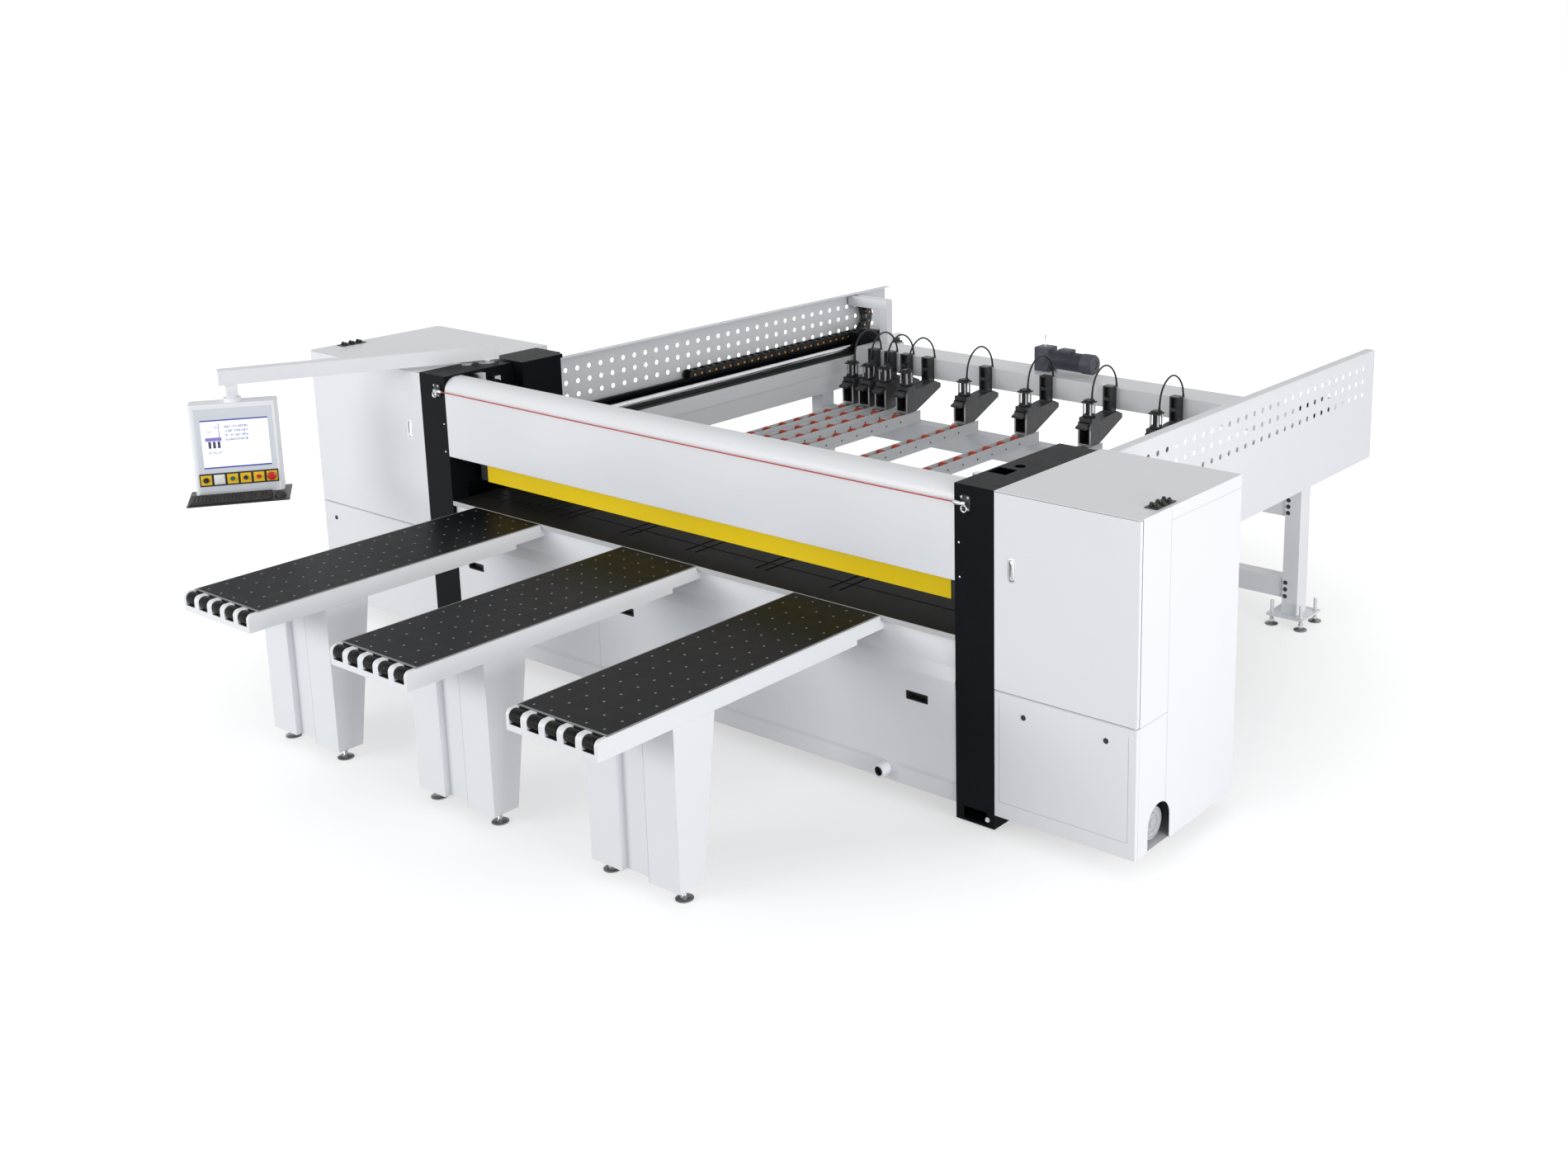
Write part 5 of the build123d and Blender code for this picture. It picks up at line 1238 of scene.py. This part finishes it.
def makeBlowerGuard(settings):  # rings round the blower's axis
    guard = aimed(lathe(settings["profile"], 36), (1, 0, 0), settings["place"])
    addDetail("blowerGuard", guard, greyPaint)


makeRopeEnds(ropeEndSettings)
makeGlands(glandSettings)
makeLocks(lockSettings)
makeColumnScrews(screwSettings)
makePostBolts(postBoltSettings)
makeHandSlotShadeCups(slotShadeSettings)
makeOutlet(outletSettings)
makeNeck(neckSettings)
makeBlowerGuard(guardSettings)
print("rope ends, glands, locks, screws and hand slots made")


# Door latches: a bright flush lever in a rounded bezel

latchSettings = {"left": -2116, "right": 2088, "height": 1266, "size": (24, 92), "thickness": 8, "into": 9,
                 "rim": 18, "gap": 5, "pull": (13, 40, 6), "pullAt": -18, "keyAt": 28,
                 "barrel": ((0, 0), (7, 0), (7, 1), (6, 1.6), (0, 1.6))}


def makeLatch(side, settings):  # a rounded lever with a pull and a key barrel, in a bezel of rings
    place, height, top = settings[side], settings["height"], settings["thickness"]
    (width, length), extra, gap = settings["size"], settings["rim"], settings["gap"]
    lever = slab(roundedRectangle(width, length, 9), roundedLevels(0, top, 1.6, 3))
    pull = slab(roundedRectangle(*settings["pull"]), [(0, top - 0.4), (1, top + 1), (4, top + 1)])
    barrel = moved(lathe(settings["barrel"], 20), (0, settings["keyAt"], top - 0.4))
    shape = joined(lever, moved(pull, (0, settings["pullAt"], 0)), barrel)
    makePiece(f"{side}LatchLever", aimed(shape, (0, -1, 0), (place, settings["into"], height)), chrome,
              (f"{side}_latch",))
    outer = roundedRectangle(width + extra, length + extra, 16)
    inner = roundedRectangle(width + gap, length + gap, 10)
    rim = drawnIn(outer, 4)
    rings = ((outer, 0), (drawnIn(outer, 0.3), 1.6), (drawnIn(outer, 2), 2.4), (inner, 1.6), (inner, -6),
             (rim, -6), (rim, 0))
    bezel = surface([atHeight(*step) for step in rings], True, True)
    addDetail(f"{side}LatchBezel", aimed(bezel, (0, -1, 0), (place, 0, height)), chrome,
              f"{side}_door")


makeLatch("left", latchSettings)
makeLatch("right", latchSettings)
print("latches made")


# Pendant: buttons, legend plates, keyboard and mouse

buttonSettings = {"pitch": 66, "places": 6, "height": 1119, "face": -59.0, "travel": 3.3, "plate": 54,
                  "hole": 12.0, "wide": 1.06, "stem": (7.8, -30, 0.5, 16),
                  "blank": ((0, 0), (0, 1.6), (1, 2.2)),
                  "cap": ((0, 0), (10.6, 0), (10.6, 6), (10.1, 8), (8.6, 8.8), (7.4, 8.2), (0, 7.6)),
                  "mushroom": ((0, 0), (9, 0), (11, 2), (20, 4), (22.5, 7), (22.5, 10), (21, 13.5),
                               (16, 15.4), (8, 16), (0, 16)),
                  "grille": ((0, 8), (3, 8.6), (3.5, 8), (6, 8.6), (6.5, 8), (9, 8.6), (9.5, 8), (12, 8.4),
                             (12, 7.5), (0, 7.5))}
keyboardSettings = {"x": (-246, 164), "y": (-236, -96), "bottom": 1032, "front": 9, "rear": 18, "corner": 8,
                    "levels": ((1, 0), (0, 0.2), (0, 0.85), (0.8, 1.0)), "columns": 21, "gaps": (14, 17),
                    "rows": 6, "key": (16.2, 17.0, 2.5, 2), "pitch": (18.6, 20.5),
                    "keyLevels": ((0, -1), (0.4, 2), (2, 4.2), (3, 4.0)), "mouse": (208, -165),
                    "mouseSize": (30, 50, 28), "mouseSides": 28, "mouseFoot": 0.97}


def atButton(shape, index, into):  # drawn standing on Z, set at a button's place on the front
    across = spread(buttonSettings["places"], buttonSettings["pitch"])[index]
    return onPendant(aimed(shape, (0, -1, 0), (across, into, buttonSettings["height"])))


def makeButtons(settings):  # turned caps on stems, in square plates with round holes
    face, stem = settings["face"], roundBar(*settings["stem"])
    cap, mushroom, grille = (lathe(settings[name], sides)
                             for name, sides in (("cap", 28), ("mushroom", 36), ("grille", 24)))
    for index, node, head, finish in ((2, "green_button", cap, greenPlastic),
                                      (3, "black_button", cap, blackPlastic),
                                      (4, "red_button", cap, redPlastic),
                                      (5, "emergency_stop", mushroom, redPlastic)):
        button = atButton(joined(head, stem), index, face - settings["travel"])
        makePiece(pieceName(node), button, finish, (node,))
    ring = circle(1, 48)
    outer = ring * settings["plate"] / 2 / abs(ring).max(1)[:, None]  # a square on the rays of the hole
    inner = settings["hole"] * ring
    plates = [atButton(ringPlate(outer, inner, 0, 1.0), index, face) for index in (2, 3, 4, 5)]
    plates.append(atButton(ringPlate(outer, inner * settings["wide"], 0, 1.0), 0, face))
    addDetail("legendPlates", joined(*plates), yellowPlastic, "pendant")
    blank = atButton(slab(outer, settings["blank"]), 1, face)
    addDetail("blankPlate", blank, whitePlastic, "pendant")
    addDetail("buzzerGrille", atButton(grille, 0, face), blackPlastic, "pendant")


def makeKeyboard(settings):  # a sloping wedge with drawn-in keys in rows, and a domed oval beside it
    (left, right), (front, rear), bottom = settings["x"], settings["y"], settings["bottom"]
    outline = roundedRectangle(right - left, rear - front, settings["corner"])
    slope = (settings["rear"] - settings["front"]) / (rear - front)
    middle = (left + right) / 2, (front + rear) / 2

    def thickness(y):  # of the wedge there
        return settings["front"] + slope * (y - front)

    rings = []
    for inwards, share in settings["levels"]:
        ring = drawnIn(outline, inwards) + middle
        rings.append(np.column_stack([ring, bottom + share * thickness(ring[:, 1])]))
    pitchX, pitchY = settings["pitch"]
    columns = np.delete(spread(settings["columns"], pitchX), settings["gaps"])
    spots = lattice(columns, spread(settings["rows"], pitchY)) + middle
    key = slab(roundedRectangle(*settings["key"]), settings["keyLevels"])
    keys = repeated(key, np.column_stack([spots, bottom + thickness(spots[:, 1])]))
    *flat, high = settings["mouseSize"]
    oval = circle(1, settings["mouseSides"]) * flat
    rounds = [atHeight(oval * settings["mouseFoot"] + settings["mouse"], bottom)]
    for angle in np.linspace(0, np.pi / 2, 6):
        scale = (0.9 + 0.1 * np.cos(angle)) * np.cos(angle * 0.93)
        rounds.append(atHeight(oval * scale + settings["mouse"], bottom + high * np.sin(angle)))
    makePiece("keyboardBody", onPendant(joined(loft(rings), loft(rounds))), blackPlastic, ("keyboard",))
    addDetail("keyboardKeys", onPendant(keys), blackPlastic, "pendant")


makeButtons(buttonSettings)
makeKeyboard(keyboardSettings)
print("pendant details made")


# CAD nodes: rounded-over copies where edges show, and finishes for the rest

softNodes = {"left_column": (blackPaint, 3), "right_column": (blackPaint, 3),
             "left_cabinet": (whitePaint, 1.2), "right_cabinet": (cabinetPaint, 1.2),
             "left_door": (whitePaint, 0.8), "right_door": (whitePaint, 0.8),
             "access_panels": (accessPaint, 0.8), "air_tables": (whitePaint, 1.2),
             "table_legs": (legPaint, 1.6), "control_arm": (whitePaint, 1.8),
             "pendant_box": (pendantPaint, 2.0), "clamp_arms": (castPaint, 1.0),
             "side_beams": (whitePaint, 2.4), "pusher_beam": (whitePaint, 2.4),
             "rear_frame": (whitePaint, 3.0), "pusher_carriages": (blackPaint, 2.0),
             "table_tops": (airBoard, 1.0), "pressure_beam": (darkSteel, 1.5)}
plainNodes = {"saw_base": whitePaint, "front_covers": whitePaint, "worktable": worktableBoard,
              "electrical_panel": drivePaint, "blower": greyPaint, "beam_cylinders": zinc,
              "safety_strip": yellowStrip, "valve_box": blackPaint, "saw_rails": steel,
              "saw_carriage": greyPaint, "carriage_pinion": steel, "blade_lift": motorPaint,
              "main_blade": brightSteel, "scoring_blade": brightSteel, "arm_post": zinc,
              "pendant_screen": screenGlass, "button_strip": blackPlastic, "chain_tray": blackPaint,
              "roller_tracks": trackSheet, "clamp_jaws": darkSteel}
for node, (finish, width) in softNodes.items():
    softenNode(node, finish, width)
for node, finish in plainNodes.items():
    nodes[node].data.materials.clear()
    nodes[node].data.materials.append(finish.material)
print("nodes finished")
